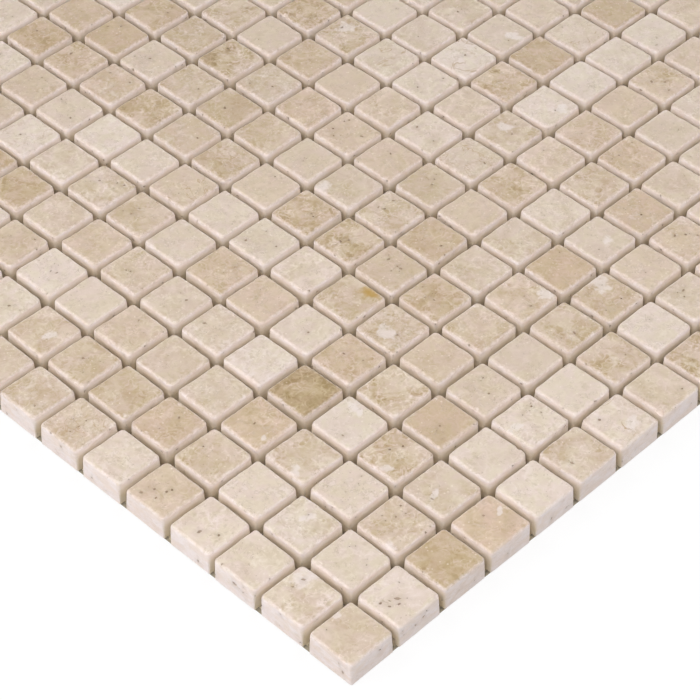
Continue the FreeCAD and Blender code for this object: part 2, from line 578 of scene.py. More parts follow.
@dataclass
class Pit:
    """An open pore.

    Attributes:
        across: Place along the first direction of its surface.
        up: Place along the second direction.
        radius: Its radius.
        depth: Its depth.
        stretch: Its length over its width.
        turn: Direction of its length, in radians.
    """

    WIDE: ClassVar[float] = 0.28
    SIDES: ClassVar[tuple[int, int]] = (7, 9)
    RAGGED: ClassVar[float] = 0.22
    RINGS: ClassVar[Array] = np.array([(1.0, 0.0, 0.25), (0.82, 0.6, 0.9), (0.45, 0.95, 1.0)])
    COVER: ClassVar[float] = 1.7

    across: float
    up: float
    radius: float
    depth: float
    stretch: float
    turn: float

    @property
    def reach(self) -> float:
        """Distance from its middle to its furthest rim."""
        return self.radius * self.stretch

    def points(self, rng: Random) -> Array:
        """The pit's own points, ring by ring from its ragged rim down to its floor.

        Args:
            rng: Random source for the ragged rim.

        Returns:
            One row for each point: across, up, depth and how far it is in shade.
        """
        wide = self.radius > self.WIDE
        count = self.SIDES[wide]
        angles = np.arange(count) * math.tau / count + rng.uniform(0, 1)
        ragged = 1 + rng.uniform(-self.RAGGED, self.RAGGED, count)
        # How dark the painted shade in the pit gets: wider pits are darker
        darkest = min(1.0, 0.35 + 1.6 * self.radius)
        rows = [(0.0, 0.0, self.depth, darkest)]
        for share, down, shade in self.RINGS if wide else self.RINGS[:2]:
            along = share * ragged * self.radius * self.stretch * np.cos(angles)
            aside = share * ragged * self.radius * np.sin(angles)
            rows += [(a, b, down * self.depth, shade * darkest) for a, b in zip(along, aside)]
        table = np.array(rows)
        cos, sin = math.cos(self.turn), math.sin(self.turn)
        turned = np.column_stack(
            [cos * table[:, 0] - sin * table[:, 1], sin * table[:, 0] + cos * table[:, 1]]
        )
        table[:, :2] = turned + (self.across, self.up)
        return table

    def covers(self, points: Array) -> Array:
        """Which of some points lie in the pit or close to its rim.

        Args:
            points: One row of two places on the pit's surface for each point.

        Returns:
            True for each point that is covered.
        """
        away = points - (self.across, self.up)
        cos, sin = math.cos(self.turn), math.sin(self.turn)
        along = (cos * away[:, 0] + sin * away[:, 1]) / (self.radius * self.stretch)
        aside = (cos * away[:, 1] - sin * away[:, 0]) / self.radius
        return along**2 + aside**2 < self.COVER


@dataclass(frozen=True)
class ChipHabit:
    """One kind of random chip: how many a tile has, where, and how large.

    Attributes:
        count: Usual number in the tightest stone.
        porous: How many more the most porous stone has.
        on_arris: Whether it sits at the worn arris, or at the tile's foot.
        seam: Least distance from the place where the way round the tile starts, in millimetres.
        radius: Range of the ball's radius, in millimetres.
        up: Range of its height from the arris's or the tile's foot, in millimetres.
        bite: Range of how deep the ball goes in, as a share of its radius.
    """

    count: float
    porous: float
    on_arris: bool
    seam: float
    radius: tuple[float, float]
    up: tuple[float, float]
    bite: tuple[float, float]


FLAKES = ChipHabit(1.2, 1.2, True, 1.8, (0.6, 1.4), (-0.1, 1.25), (0.12, 0.34))
NICKS = ChipHabit(2.4, 0.0, True, 1.8, (0.35, 0.65), (0.4, 1.5), (0.3, 0.55))
FOOT_CHIPS = ChipHabit(0.8, 0.0, False, 1.6, (0.6, 1.4), (-0.3, 0.3), (0.15, 0.4))


@dataclass
class Chip:
    """A flake broken out of the arris, as a hollow left by a ball.

    Attributes:
        along: Place round the tile.
        up: Place up the wall and over the arris.
        radius: Radius of the ball.
        bite: How deep the ball goes into the stone.
    """

    along: float
    up: float
    radius: float
    bite: float

    @property
    def reach(self) -> float:
        """Radius of the hollow on the surface, with a little to spare."""
        return 1.15 * math.sqrt(max(2 * self.radius * self.bite - self.bite**2, 0.0))


@dataclass
class StoneMesh:
    """Points, triangles and what the finish reads at each point.

    Attributes:
        points: One row of X, Y and Z for each point.
        triangles: One row of three point numbers for each triangle.
        block_place: Where each point lay in the block that the tile was sawn from.
        worn: 0 on the honed face and 1 on the worn arris, walls and back.
        pit: How deep in a pit each point is, from 0 to 1, as the strength of its painted shade; wider
            pits are darker.
        soil_and_shade: How much dust and glue of the joint sticks to each point, and how much painted
            shade it has there, from 0 to 1.
        crystal: Where each point lies in the tile's crystalline patch.
        rust: Where each point lies in the tile's stain of iron.
        nature: The tile's stone, one row for each point.
    """

    points: Array
    triangles: Array
    block_place: Array
    worn: Array
    pit: Array
    soil_and_shade: Array
    crystal: Array
    rust: Array
    nature: Array

    @staticmethod
    def joined(parts: Sequence["StoneMesh"]) -> "StoneMesh":
        """One mesh from several, with the triangles' numbers moved on.

        Args:
            parts: The meshes to join.

        Returns:
            The joined mesh.
        """
        values = {
            entry.name: np.concatenate([getattr(part, entry.name) for part in parts])
            for entry in fields(StoneMesh)
        }
        starts = np.cumsum([0] + [len(part.points) for part in parts[:-1]])
        moved = [part.triangles + start for part, start in zip(parts, starts)]
        return StoneMesh(**{**values, "triangles": np.concatenate(moved)})


SAME_POINT = 1e-6
NO_AREA = 1e-9


def triangulate(points: Array, outline: int = 0) -> Array:
    """Joins points in a plane by triangles.

    Args:
        points: One row of two coordinates for each point.
        outline: Number of points, from the first, that bound the shape, or 0 for the hull of all.

    Returns:
        One row of three point numbers for each triangle, counterclockwise.
    """
    faces = [list(range(outline))] if outline else []
    inside = 1 if outline else 0
    found = delaunay_2d_cdt([Vector(p) for p in points], [], faces, inside, SAME_POINT, True)
    if len(found[0]) != len(points):
        raise RuntimeError("two points of a tile coincide")
    triangles = np.array(found[2], dtype=np.int64)
    a, b, c = (points[triangles[:, k]] for k in range(3))
    area = (b[:, 0] - a[:, 0]) * (c[:, 1] - a[:, 1]) - (b[:, 1] - a[:, 1]) * (c[:, 0] - a[:, 0])
    triangles[area < 0] = triangles[area < 0][:, ::-1]
    return triangles[np.abs(area) > NO_AREA]


def inside_outline(points: Array, outline: Array) -> Array:
    """Which points lie inside a closed outline.

    Args:
        points: One row of X and Y for each point.
        outline: One row of X and Y for each corner.

    Returns:
        True for each point inside.
    """
    following = np.roll(outline, -1, axis=0)
    x, y = points[:, :1], points[:, 1:2]
    crosses = (outline[:, 1] > y) != (following[:, 1] > y)
    rise = following[:, 1] - outline[:, 1]
    rise = np.where(rise == 0, NO_AREA, rise)
    at = outline[:, 0] + (y - outline[:, 1]) * (following[:, 0] - outline[:, 0]) / rise
    return (crosses & (x < at)).sum(axis=1) % 2 == 1


class Waves:
    """A smooth random unevenness: a few long waves that cross each other."""

    COUNT = 6
    FLATTENING = 9

    def __init__(self, rng: Random, shortest: float, longest: float) -> None:
        """Chooses the waves.

        Args:
            rng: Random source.
            shortest: Shortest wavelength.
            longest: Longest wavelength.
        """
        directions = rng.normal(size=(self.COUNT, 3))
        directions /= np.linalg.norm(directions, axis=1, keepdims=True)
        lengths = rng.uniform(shortest, longest, (self.COUNT, 1))
        self.vectors = math.tau * directions / lengths
        self.phases = rng.uniform(0, math.tau, self.COUNT)

    def at(self, points: Array) -> Array:
        """Height of the unevenness at some points, from about 0 to 1."""
        heights = np.sin(points @ self.vectors.T + self.phases).sum(axis=1)
        return 0.5 + heights / self.FLATTENING


class Tile:
    """One tumbled travertine tile: rounded arris, worn corners, pits and chips.

    The class's own values say how its pits, patches and points are strewn: in millimetres, or as
    shares. A patch has a place, half its length, its turn in degrees and its chance.
    """

    SIGNS = np.array([(1, -1), (1, 1), (-1, 1), (-1, -1)])
    SIDES = np.array([(1, 0), (0, 1), (-1, 0), (0, -1)])
    LOOKUPS = 399
    MARK_RISE = 0.7
    PIT_STRETCH = 0.9
    PIT_DEPTH = (0.6, 1.3)
    PIT_FOOT = 0.35
    PIT_HEAD = 0.2
    CLUSTER_REACH = 3.5
    CLUSTER_WIDTH = 1.5
    CLUSTER_SHARE = 0.6
    FACE_REACH = 5.4
    FACE_MARGIN = 1.95
    PATCH_LEAST = (-6, -6, 1.8, 0, 0)
    PATCH_MOST = (6, 6, 4.6, 180, 1)
    PATCH_CHANCE = 0.1
    SEAM_MARGIN = 0.3
    FOOT_MARGIN = 0.2

    def __init__(
        self,
        form: TileForm,
        nature: StoneNature,
        joined: Sequence[bool],
        rng: Random,
        accent: Accent | None = None,
    ) -> None:
        """Chooses the tile's own wear.

        Args:
            form: The shape that tumbling leaves.
            nature: Its stone.
            joined: For each of the four sides, whether another tile stands there across a joint.
            rng: Random source of this tile alone.
            accent: What is listed for it, if the tile is one that stands out.
        """
        self.form = form
        self.nature = nature
        self.accent = accent
        self.joined = np.array(joined, dtype=float)
        self.rng = rng
        wear = form.wear
        self.inset = rng.uniform(0.0, wear.inset)
        self.corners = form.corner * rng.uniform(*wear.corner, 4)
        self.corners_back = form.corner_back * rng.uniform(*wear.corner_back, 4)
        self.arris = form.arris * rng.uniform(*wear.arris)
        self.ripples = [
            (n, rng.uniform(0.0, wear.ripple / n**wear.ripple_fall), rng.uniform(0, math.tau))
            for n in wear.ripple_counts
        ]
        self.swell = Waves(rng, *wear.swell)
        self.grit = Waves(rng, *wear.grit)
        self.chips = self._chips()
        self.wall_pits = self._wall_pits()
        self.face_pits = self._face_pits()
        self.crystal = accent.crystal if accent else self._crystal()
        self.rust = accent.rust if accent else NOWHERE

    def _plan(self, along: Array, inset: Array, back: Array) -> tuple[Array, Array]:
        """Points in plan on the way round the tile.

        Args:
            along: Places round the tile.
            inset: How far each point is in from the wall.
            back: 1 at the tile's back and 0 at its face, for the corners' taper.

        Returns:
            The points and the outward directions there.
        """
        form = self.form
        leg = form.corner_run + form.side_run
        way = (along - 0.5 * form.side_run) % form.length
        first = np.minimum((way // leg).astype(int), 3)
        left = way - first * leg
        bend = np.clip(left / form.corner_run, 0, 1)
        share = np.clip((left - form.corner_run) / form.side_run, 0, 1)
        angle = 0.5 * math.pi * (first - 1 + bend)
        outward = np.column_stack([np.cos(angle), np.sin(angle)])
        upward = np.clip(1 - back, 0, 1) ** form.corner_taper
        widths = self.corners_back[:, None] + (self.corners - self.corners_back)[:, None] * upward
        radii = np.maximum(widths - inset, form.least_radius)
        half = form.half_side - self.inset - inset
        spots = []
        for corner in (first, (first + 1) % 4):
            radius = radii[corner, np.arange(len(along))]
            spots.append(
                self.SIGNS[corner] * (half - radius)[:, None] + radius[:, None] * outward
            )
        plan = spots[0] * (1 - share)[:, None] + spots[1] * share[:, None]
        return plan, outward

    def _arris_radius(self, along: Array) -> Array:
        """Radius of the worn arris.

        Args:
            along: Places round the tile.

        Returns:
            The radius at each place.
        """
        turn = math.tau * along / self.form.length
        ripple = sum(size * np.sin(n * turn + phase) for n, size, phase in self.ripples)
        return self.arris * (1 + ripple)

    def _skirt(self, along: Array, up: Array) -> tuple[Array, Array]:
        """Points on the walls and the arris.

        Args:
            along: Places round the tile.
            up: Places up the wall and over the arris.

        Returns:
            The points and the outward directions there.
        """
        form = self.form
        radius = self._arris_radius(along)
        angle = np.clip((up - form.wall) / form.arris, 0, 0.5 * math.pi)
        wall = form.thickness - radius
        height = np.where(
            up < form.wall, up / form.wall * wall, wall + radius * np.sin(angle)
        )
        inset = radius * (1 - np.cos(angle))
        plan, outward = self._plan(along, inset, 1 - height / form.thickness)
        points = np.column_stack([plan, height])
        normals = np.column_stack([outward * np.cos(angle)[:, None], np.sin(angle)])
        return points, normals

    def _place_round(self, mark: Mark) -> float:
        """The place round the tile that is nearest to a mark.

        Args:
            mark: The mark.

        Returns:
            The place, from 0 up to the tile's length round.
        """
        places = np.linspace(0, self.form.length, self.LOOKUPS, endpoint=False)
        plan, _ = self._plan(places, np.zeros(self.LOOKUPS), np.zeros(self.LOOKUPS))
        return float(places[np.argmin(np.hypot(plan[:, 0] - mark.x, plan[:, 1] - mark.y))])

    def _chips(self) -> list[Chip]:
        """The tile's chips.

        Returns:
            Those listed, then a few random ones of each kind.
        """
        form, rng = self.form, self.rng
        chips = []
        for mark in self.accent.chips if self.accent else ():
            along = self._place_round(mark)
            chips.append(Chip(along, form.wall + self.MARK_RISE, mark.size, 0.5 * mark.size))
        for habit in (FLAKES, NICKS, FOOT_CHIPS):
            foot = form.wall if habit.on_arris else 0.0
            for _ in range(rng.poisson(habit.count + habit.porous * self.nature.porosity)):
                radius = rng.uniform(*habit.radius)
                along = rng.uniform(habit.seam, form.length - habit.seam)
                up = foot + rng.uniform(*habit.up)
                chips.append(Chip(along, up, radius, rng.uniform(*habit.bite) * radius))
        return chips

    def _new_pit(self, across: float, up: float, radius: float) -> Pit:
        """A pit with its own depth, stretch and direction.

        Args:
            across: Place along the first direction of its surface.
            up: Place along the second direction.
            radius: Its radius.

        Returns:
            The pit.
        """
        stretch = 1 + self.PIT_STRETCH * self.rng.uniform() ** 2
        depth = radius * self.rng.uniform(*self.PIT_DEPTH)
        return Pit(across, up, radius, depth, stretch, self.rng.uniform(0, math.pi))

    def _keep_apart(self, wanted: list[Pit]) -> list[Pit]:
        """Leaves out each pit that is too close to one before it.

        Args:
            wanted: The pits, the most wanted first.

        Returns:
            The pits that stay.
        """
        kept: list[Pit] = []
        for pit in wanted:
            gaps = [
                math.hypot(pit.across - k.across, pit.up - k.up) - pit.reach - k.reach for k in kept
            ]
            if all(gap > self.form.clear for gap in gaps):
                kept.append(pit)
        return kept

    def _wall_pits(self) -> list[Pit]:
        """Pits in the walls and the arris.

        Returns:
            Those listed, then random ones, clear of the chips and of each other.
        """
        form, rng = self.form, self.rng
        pits = [
            self._new_pit(self._place_round(mark), mark.height, mark.size)
            for mark in (self.accent.wall_pits if self.accent else ())
        ]
        for _ in range(WALL_PITS.count(self.nature.porosity, rng)):
            radius = WALL_PITS.radius(rng)
            pit = self._new_pit(rng.uniform(1, form.length - 1), 0.0, radius)
            pit.up = rng.uniform(self.PIT_FOOT + pit.reach, form.height - self.PIT_HEAD - pit.reach)
            clear = all(
                math.hypot(pit.across - c.along, pit.up - c.up) > pit.reach + c.reach
                for c in self.chips
            )
            if clear:
                pits.append(pit)
        return self._keep_apart(pits)

    def _face_pits(self) -> list[Pit]:
        """Pits in the face, some of them in a cluster.

        Returns:
            Those listed, then random ones, clear of the face's rim and of each other.
        """
        rng = self.rng
        by_hand = self.accent.pits if self.accent else ()
        pits = [self._new_pit(mark.x, mark.y, mark.size) for mark in by_hand]
        middle = rng.uniform(-self.CLUSTER_REACH, self.CLUSTER_REACH, 2)
        for _ in range(FACE_PITS.count(self.nature.porosity, rng)):
            if rng.uniform() < self.CLUSTER_SHARE:
                x, y = middle + rng.normal(0, self.CLUSTER_WIDTH, 2)
            else:
                x, y = rng.uniform(-self.FACE_REACH, self.FACE_REACH, 2)
            pits.append(self._new_pit(x, y, FACE_PITS.radius(rng)))
        limit = self.form.half_side - self.FACE_MARGIN
        inside = [p for p in pits if max(abs(p.across), abs(p.up)) + p.reach < limit]
        return self._keep_apart(inside)

    def _crystal(self) -> Patch:
        """A random tile's crystalline patch, which most tiles are without.

        Returns:
            The patch.
        """
        x, y, length, turn, chance = self.rng.uniform(self.PATCH_LEAST, self.PATCH_MOST)
        if chance >= self.PATCH_CHANCE:
            return NOWHERE
        return Patch(x, y, length, length * (0.4 + 4 * chance), turn)

    def _fine_points(self, chip: Chip) -> Array:
        """A close grid of points round a chip.

        Args:
            chip: The chip.

        Returns:
            One row of two distances from the chip's middle for each point, out to its reach.
        """
        step = self.form.fine_step
        count = math.ceil(chip.reach / step)
        grid = np.arange(-count, count + 1) * step
        x, y = np.meshgrid(grid, grid)
        x = x + 0.5 * step * (np.arange(len(grid)) % 2)[:, None]
        points = np.column_stack([x.ravel(), y.ravel()])
        points += self.rng.uniform(-self.form.fine_shift, self.form.fine_shift, points.shape)
        return points[np.hypot(points[:, 0], points[:, 1]) < chip.reach]

    def _ring(self, up: float) -> Array:
        """Places of the points at the foot or the rim, closer together where a chip crosses it.

        Args:
            up: Place up the wall and over the arris.

        Returns:
            Places round the tile, in order.
        """
        form = self.form
        places = list(form.stations())
        for chip in self.chips:
            if abs(chip.up - up) < chip.reach:
                near = np.arange(chip.along - chip.reach, chip.along + chip.reach, form.fine_step)
                last = form.length - self.FOOT_MARGIN
                places += [place for place in near if self.FOOT_MARGIN < place < last]
        ordered = np.sort(np.array(places))
        return ordered[np.concatenate([[True], np.diff(ordered) > form.clear])]

    def _skirt_points(self) -> tuple[Array, Array, Array, Array]:
        """All points of the walls and the arris.

        Returns:
            Places (along and up), depths, shade and the numbers of the points on the face's rim.
        """
        form = self.form
        levels = [share * form.wall for share in form.wall_levels[1:]]
        top_levels = np.linspace(form.wall, form.height, form.arris_steps + 1)[1:-1]
        rings = [(place, 0.0) for place in self._ring(0.0)]
        rings += [(place, up) for up in [*levels, *top_levels] for place in form.stations()]
        fine = [self._fine_points(chip) + (chip.along, chip.up) for chip in self.chips]
        free = np.concatenate([np.array(rings), *fine])
        keep = np.ones(len(free), dtype=bool)
        edge = (free[:, 1] == 0) | (free[:, 0] == 0)
        for pit in self.wall_pits:
            keep &= ~pit.covers(free) | edge
        ringed = np.arange(len(free)) < len(rings)
        keep &= ringed | (
            (free[:, 1] < form.height - form.clear)
            & (free[:, 1] > self.FOOT_MARGIN)
            & (free[:, 0] > self.SEAM_MARGIN)
            & (free[:, 0] < form.length - self.SEAM_MARGIN)
        )
        free = free[keep]
        pits = [pit.points(self.rng) for pit in self.wall_pits]
        rim = self._ring(form.height)
        rim_rows = np.column_stack([rim, np.full(len(rim), form.height)])
        rows = np.concatenate([free, rim_rows, *[p[:, :2] for p in pits]])
        depth = np.zeros(len(rows))
        shade = np.zeros(len(rows))
        start = len(free) + len(rim)
        for table in pits:
            depth[start : start + len(table)] = table[:, 2]
            shade[start : start + len(table)] = table[:, 3]
            start += len(table)
        return rows, depth, shade, len(free) + np.arange(len(rim))

    def _face_points(self, rim: Array) -> tuple[Array, Array, Array, Array]:
        """All points of the face inside its rim.

        Args:
            rim: X and Y of the rim's points.

        Returns:
            X and Y of the points, their depths, shade and wear.
        """
        form, rng = self.form, self.rng
        inner = rim * (1 - form.face_inset / np.hypot(rim[:, 0], rim[:, 1]).mean())
        ring = inner[:: max(1, len(rim) // form.face_ring)]
        grid = np.arange(-form.face_reach, form.face_reach + 0.1, form.face_step)
        x, y = np.meshgrid(grid, grid)
        middle = np.column_stack([x.ravel(), y.ravel()])
        middle = middle + rng.uniform(-form.face_shift, form.face_shift, (x.size, 2))
        fine = []
        for chip in self.chips:
            if chip.up + chip.reach > form.height:
                spot, _ = self._plan(
                    np.array([chip.along]), np.array([form.height - chip.up + 0.4]), np.zeros(1)
                )
                fine.append(self._fine_points(chip) + spot)
        free = np.concatenate([ring, middle, *fine])
        keep = inside_outline(free / 0.985, rim)
        for pit in self.face_pits:
            keep &= ~pit.covers(free)
        free = free[keep]
        pits = [pit.points(rng) for pit in self.face_pits]
        rows = np.concatenate([free, *[p[:, :2] for p in pits]])
        extra = np.concatenate([p[:, 2:] for p in pits]) if pits else np.zeros((0, 2))
        depth = np.concatenate([np.zeros(len(free)), extra[:, 0]])
        shade = np.concatenate([np.zeros(len(free)), extra[:, 1]])
        to_edges = rim[:, 0].max() - np.abs(rows)
        edge_wear, edge_fade = form.wear.edge_wear
        corner_wear, corner_fade = form.wear.corner_wear
        worn = edge_wear * np.exp(-np.maximum(to_edges.min(axis=1), 0) / edge_fade)
        worn += corner_wear * np.exp(-((np.hypot(*to_edges.T) / corner_fade) ** 2))
        return rows, depth, shade, worn

    def _scoop(self, points: Array, worn: Array) -> None:
        """Pushes the points that lie in a chip's ball out to its surface, into the stone.

        Args:
            points: The tile's points, changed in place.
            worn: The points' wear, changed in place.
        """
        for chip in self.chips:
            at, normal = self._skirt(np.array([chip.along]), np.array([chip.up]))
            centre = at[0] + normal[0] * (chip.radius - chip.bite)
            away = points - centre
            distance = np.linalg.norm(away, axis=1)
            rim = self.form.wear.chip_rim * (self.grit.at(points * 1.7) - 0.5)
            ragged = chip.radius * (1 + rim)
            hit = (distance < ragged) & (distance > 1e-6)
            points[hit] = centre + away[hit] / distance[hit, None] * ragged[hit, None]
            worn[hit] = np.maximum(worn[hit], 0.5)

    def build(self) -> StoneMesh:
        """Shapes the tile.

        Returns:
            Its mesh about its own middle, with its back at height 0, in millimetres.
        """
        form = self.form
        skirt, depth, shade, rim = self._skirt_points()
        count = len(skirt)
        seam = np.flatnonzero(skirt[:, 0] == 0)
        ghosts = skirt[seam] + (form.length, 0)
        skirt_triangles = triangulate(np.concatenate([skirt, ghosts]))
        owner = np.concatenate([np.arange(count), seam])
        skirt_triangles = owner[skirt_triangles]
        points, normals = self._skirt(skirt[:, 0], skirt[:, 1])
        face, face_depth, face_shade, face_worn = self._face_points(points[rim, :2])
        face_triangles = triangulate(np.concatenate([points[rim, :2], face]), len(rim))
        owner = np.concatenate([rim, count + np.arange(len(face))])
        face_triangles = owner[face_triangles]
        foot = np.flatnonzero(skirt[:, 1] == 0)
        foot = foot[np.argsort(skirt[foot, 0])]
        back_triangles = foot[triangulate(points[foot, :2], len(foot))][:, ::-1]
        face_points = np.column_stack([face, np.full(len(face), form.thickness)])
        rise = np.clip((skirt[:, 1] - form.wall) / (form.height - form.wall), 0, 1)
        worn = np.concatenate([1 - 0.8 * rise**0.7, face_worn])
        # Dust and glue low on the walls that face a joint, with painted shade there
        facing = np.maximum(normals[:, :2] @ self.SIDES.T, 0) ** 2 @ self.joined
        wear = form.wear
        sunk = np.clip((form.thickness - wear.soil_and_shade_top - points[:, 2]) / wear.soil_and_shade_fade, 0, 1)
        soil_and_shade = np.concatenate([facing * sunk, np.zeros(len(face))])
        points = np.concatenate([points, face_points])
        normals = np.concatenate([normals, np.tile((0.0, 0.0, 1.0), (len(face), 1))])
        flat = points.copy()
        uneven = wear.swell_depth * self.swell.at(points) + wear.grit_depth * self.grit.at(points)
        uneven = np.where(np.arange(len(points)) < count, uneven, wear.honing * uneven)
        uneven[rim] = wear.rim_depth
        depths = np.concatenate([depth, face_depth]) + np.maximum(uneven, 0)
        points = points - normals * depths[:, None]
        points[foot, 2] = 0.0
        self._scoop(points, worn)
        points[:, 2] = np.clip(points[:, 2], 0.0, form.thickness)
        triangles = np.concatenate([skirt_triangles, face_triangles, back_triangles])
        nature = [getattr(self.nature, name) for name in NATURE_NAMES]
        return StoneMesh(
            points,
            triangles,
            flat,
            worn,
            np.concatenate([shade, face_shade]),
            soil_and_shade,
            self.crystal.reach(flat),
            self.rust.reach(flat),
            np.tile(nature, (len(points), 1)),
        )


def mesh_from(name: str, points: Array, triangles: Array, sharp_angle: float) -> bpy.types.Object:
    """A shown object from points and triangles, smooth but for its sharp edges.

    Args:
        name: The object's name.
        points: One row of X, Y and Z for each point, in millimetres.
        triangles: One row of three point numbers for each triangle.
        sharp_angle: Edges that turn by more than this, in radians, stay sharp.

    Returns:
        The object.
    """
    mesh = bpy.data.meshes.new(name)
    mesh.vertices.add(len(points))
    mesh.vertices.foreach_set("co", (points * MM).astype(np.float32).ravel())
    mesh.loops.add(triangles.size)
    mesh.loops.foreach_set("vertex_index", triangles.astype(np.int32).ravel())
    mesh.polygons.add(len(triangles))
    starts = np.arange(0, triangles.size, 3, dtype=np.int32)
    mesh.polygons.foreach_set("loop_start", starts)
    mesh.polygons.foreach_set("use_smooth", np.ones(len(triangles), dtype=bool))
    mesh.update(calc_edges=True)
    mesh.validate()
    mark_sharp_edges(mesh, sharp_angle)
    piece = bpy.data.objects.new(name, mesh)
    bpy.context.scene.collection.objects.link(piece)
    return piece


def mark_sharp_edges(mesh: bpy.types.Mesh, sharp_angle: float) -> None:
    """Marks the edges where the surface turns by more than an angle.

    Args:
        mesh: A mesh of triangles.
        sharp_angle: The angle in radians.
    """
    count = len(mesh.polygons)
    normals = np.empty(count * 3, dtype=np.float32)
    mesh.polygons.foreach_get("normal", normals)
    normals = normals.reshape(-1, 3)
    edges = np.empty(len(mesh.loops), dtype=np.int32)
    mesh.loops.foreach_get("edge_index", edges)
    faces = np.repeat(np.arange(count), 3)
    order = np.argsort(edges, kind="stable")
    edges, faces = edges[order], faces[order]
    paired = np.flatnonzero(edges[:-1] == edges[1:])
    turn = np.einsum("ij,ij->i", normals[faces[paired]], normals[faces[paired + 1]])
    sharp = np.zeros(len(mesh.edges), dtype=bool)
    sharp[edges[paired[turn < math.cos(sharp_angle)]]] = True
    layer = mesh.attributes.new("sharp_edge", "BOOLEAN", "EDGE")
    layer.data.foreach_set("value", sharp)


def set_point_values(mesh: bpy.types.Mesh, name: str, values: Array) -> None:
    """Stores a number or a vector at each point of a mesh, for its finish to read.

    Args:
        mesh: The mesh.
        name: The name that the finish asks for.
        values: One number or one row of three for each point.
    """
    vector = values.ndim == 2
    layer = mesh.attributes.new(name, "FLOAT_VECTOR" if vector else "FLOAT", "POINT")
    layer.data.foreach_set("vector" if vector else "value", values.astype(np.float32).ravel())


@dataclass
class TileRow:
    """One row of tiles on the net.

    Attributes:
        layout: Where the tiles lie.
        form: Their shape.
        row: The row, counted from 0.
        play: How far a tile may lie from its place, in millimetres.
        skew: How far a tile may be turned in its place, in radians.
        slope: How far a tile's face may slope, as rise over run.
        settling: How far each tile has sunk into the glue, in millimetres.
        tone_spread: How far tones of one grade differ.
        nature_spread: Range of the rest of a tile's nature, as a share of its grade's.
        bed_turn: How far the stone's bedding may be turned from a tile's sides, in radians.
        bed_tilt: How far it may be tilted, in radians.
        bed_press: How much closer together the stone's marks lie across its beds.
        block: Half the size of the block that the tiles were sawn from, in millimetres.
        sharp: Edges that turn by more than this, in degrees, stay sharp.
        piece: The row's piece, once it is built.
    """

    READ_BY_FINISH: ClassVar[tuple[str, ...]] = (
        "block_place",
        "worn",
        "pit",
        "soil_and_shade",
        "crystal",
        "rust",
    )

    layout: SheetLayout
    form: TileForm
    row: int
    play: float = 0.16
    skew: float = 0.010
    slope: float = 0.006
    settling: float = 0.02
    tone_spread: float = 0.058
    nature_spread: tuple[float, float] = (0.35, 1.75)
    bed_turn: float = 0.3
    bed_tilt: float = 0.5
    bed_press: float = 2.0
    block: float = 400.0
    sharp: float = 38.0
    piece: bpy.types.Object | None = None

    def _nature(self, column: int, rng: Random) -> tuple[StoneNature, Accent | None]:
        """The stone of one tile: as listed, or drawn from the grades.

        Args:
            column: The tile's place in the row.
            rng: Random source of this tile.

        Returns:
            The stone, and what else is listed for the tile.
        """
        for accent in ACCENTS:
            if (accent.row, accent.column) == (self.row, column):
                return accent.nature, accent
        grades = list(Grade)
        shares = np.array([grade.share for grade in grades])
        usual = grades[rng.choice(len(grades), p=shares / shares.sum())].nature
        tone = usual.tone + rng.normal(0, self.tone_spread)
        drawn = {
            name: float(np.clip(getattr(usual, name) * rng.uniform(*self.nature_spread), 0, 1))
            for name in NATURE_NAMES[1:]
        }
        for name, (chance, least, most) in ODDITIES.items():
            if rng.uniform() < chance:
                drawn[name] = rng.uniform(least, most)
        return StoneNature(tone, **drawn), None

    def _laid(self, tile: StoneMesh, column: int, rng: Random) -> StoneMesh:
        """Lays a tile in its place in the sheet, a little out of line, and in its block of stone.

        Args:
            tile: The tile about its own middle.
            column: Its place in the row.
            rng: Random source of this tile.

        Returns:
            The same tile in its place.
        """
        layout = self.layout
        slope = rng.uniform(-self.slope, self.slope, 2)
        lowering = self.settling + np.abs(slope).sum() * layout.side / 2
        lift = 1 - (lowering + tile.points[:, :2] @ slope) / layout.thickness
        tile.points[:, 2] *= lift
        turn = rng.uniform(-self.skew, self.skew)
        cos, sin = math.cos(turn), math.sin(turn)
        plan = tile.points[:, :2] @ np.array([[cos, sin], [-sin, cos]])
        plan += layout.centre(self.row, column) + rng.uniform(-self.play, self.play, 2)
        limits = np.array(layout.half_extent)
        plan -= np.maximum(plan.max(axis=0) - limits, 0)
        plan += np.maximum(-limits - plan.min(axis=0), 0)
        tile.points = np.column_stack([plan, tile.points[:, 2] + layout.back])
        turn = rng.integers(4) * 0.5 * math.pi + rng.uniform(-self.bed_turn, self.bed_turn)
        tilt = Matrix.Rotation(rng.uniform(-self.bed_tilt, self.bed_tilt), 3, "X")
        bedding = np.array(Matrix.Rotation(turn, 3, "Z") @ tilt)
        pressed = tile.block_place * (1.0, 1.0, self.bed_press)
        tile.block_place = pressed @ bedding + rng.uniform(-self.block, self.block, 3)
        return tile

    def build(self) -> bpy.types.Object:
        """Builds the row as one piece.

        Returns:
            The piece.
        """
        tiles = []
        for column in range(self.layout.columns):
            rng = np.random.default_rng([SEED, self.row, column])
            nature, accent = self._nature(column, rng)
            joined = (
                column < self.layout.columns - 1,
                self.row < self.layout.rows - 1,
                column > 0,
                self.row > 0,
            )
            tile = Tile(self.form, nature, joined, rng, accent).build()
            tiles.append(self._laid(tile, column, rng))
        stone = StoneMesh.joined(tiles)
        name = f"travertine_row_{self.row + 1:02d}"
        self.piece = mesh_from(name, stone.points, stone.triangles, math.radians(self.sharp))
        for value in self.READ_BY_FINISH:
            set_point_values(self.piece.data, value, getattr(stone, value))
        for index, value in enumerate(NATURE_NAMES):
            set_point_values(self.piece.data, value, stone.nature[:, index])
        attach(self.piece, BODY)
        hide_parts(row_node(self.row))
        return self.piece

    def dress(self, finish: bpy.types.Material) -> None:
        """Gives the row its finish."""
        self.piece.data.materials.append(finish)


# Net


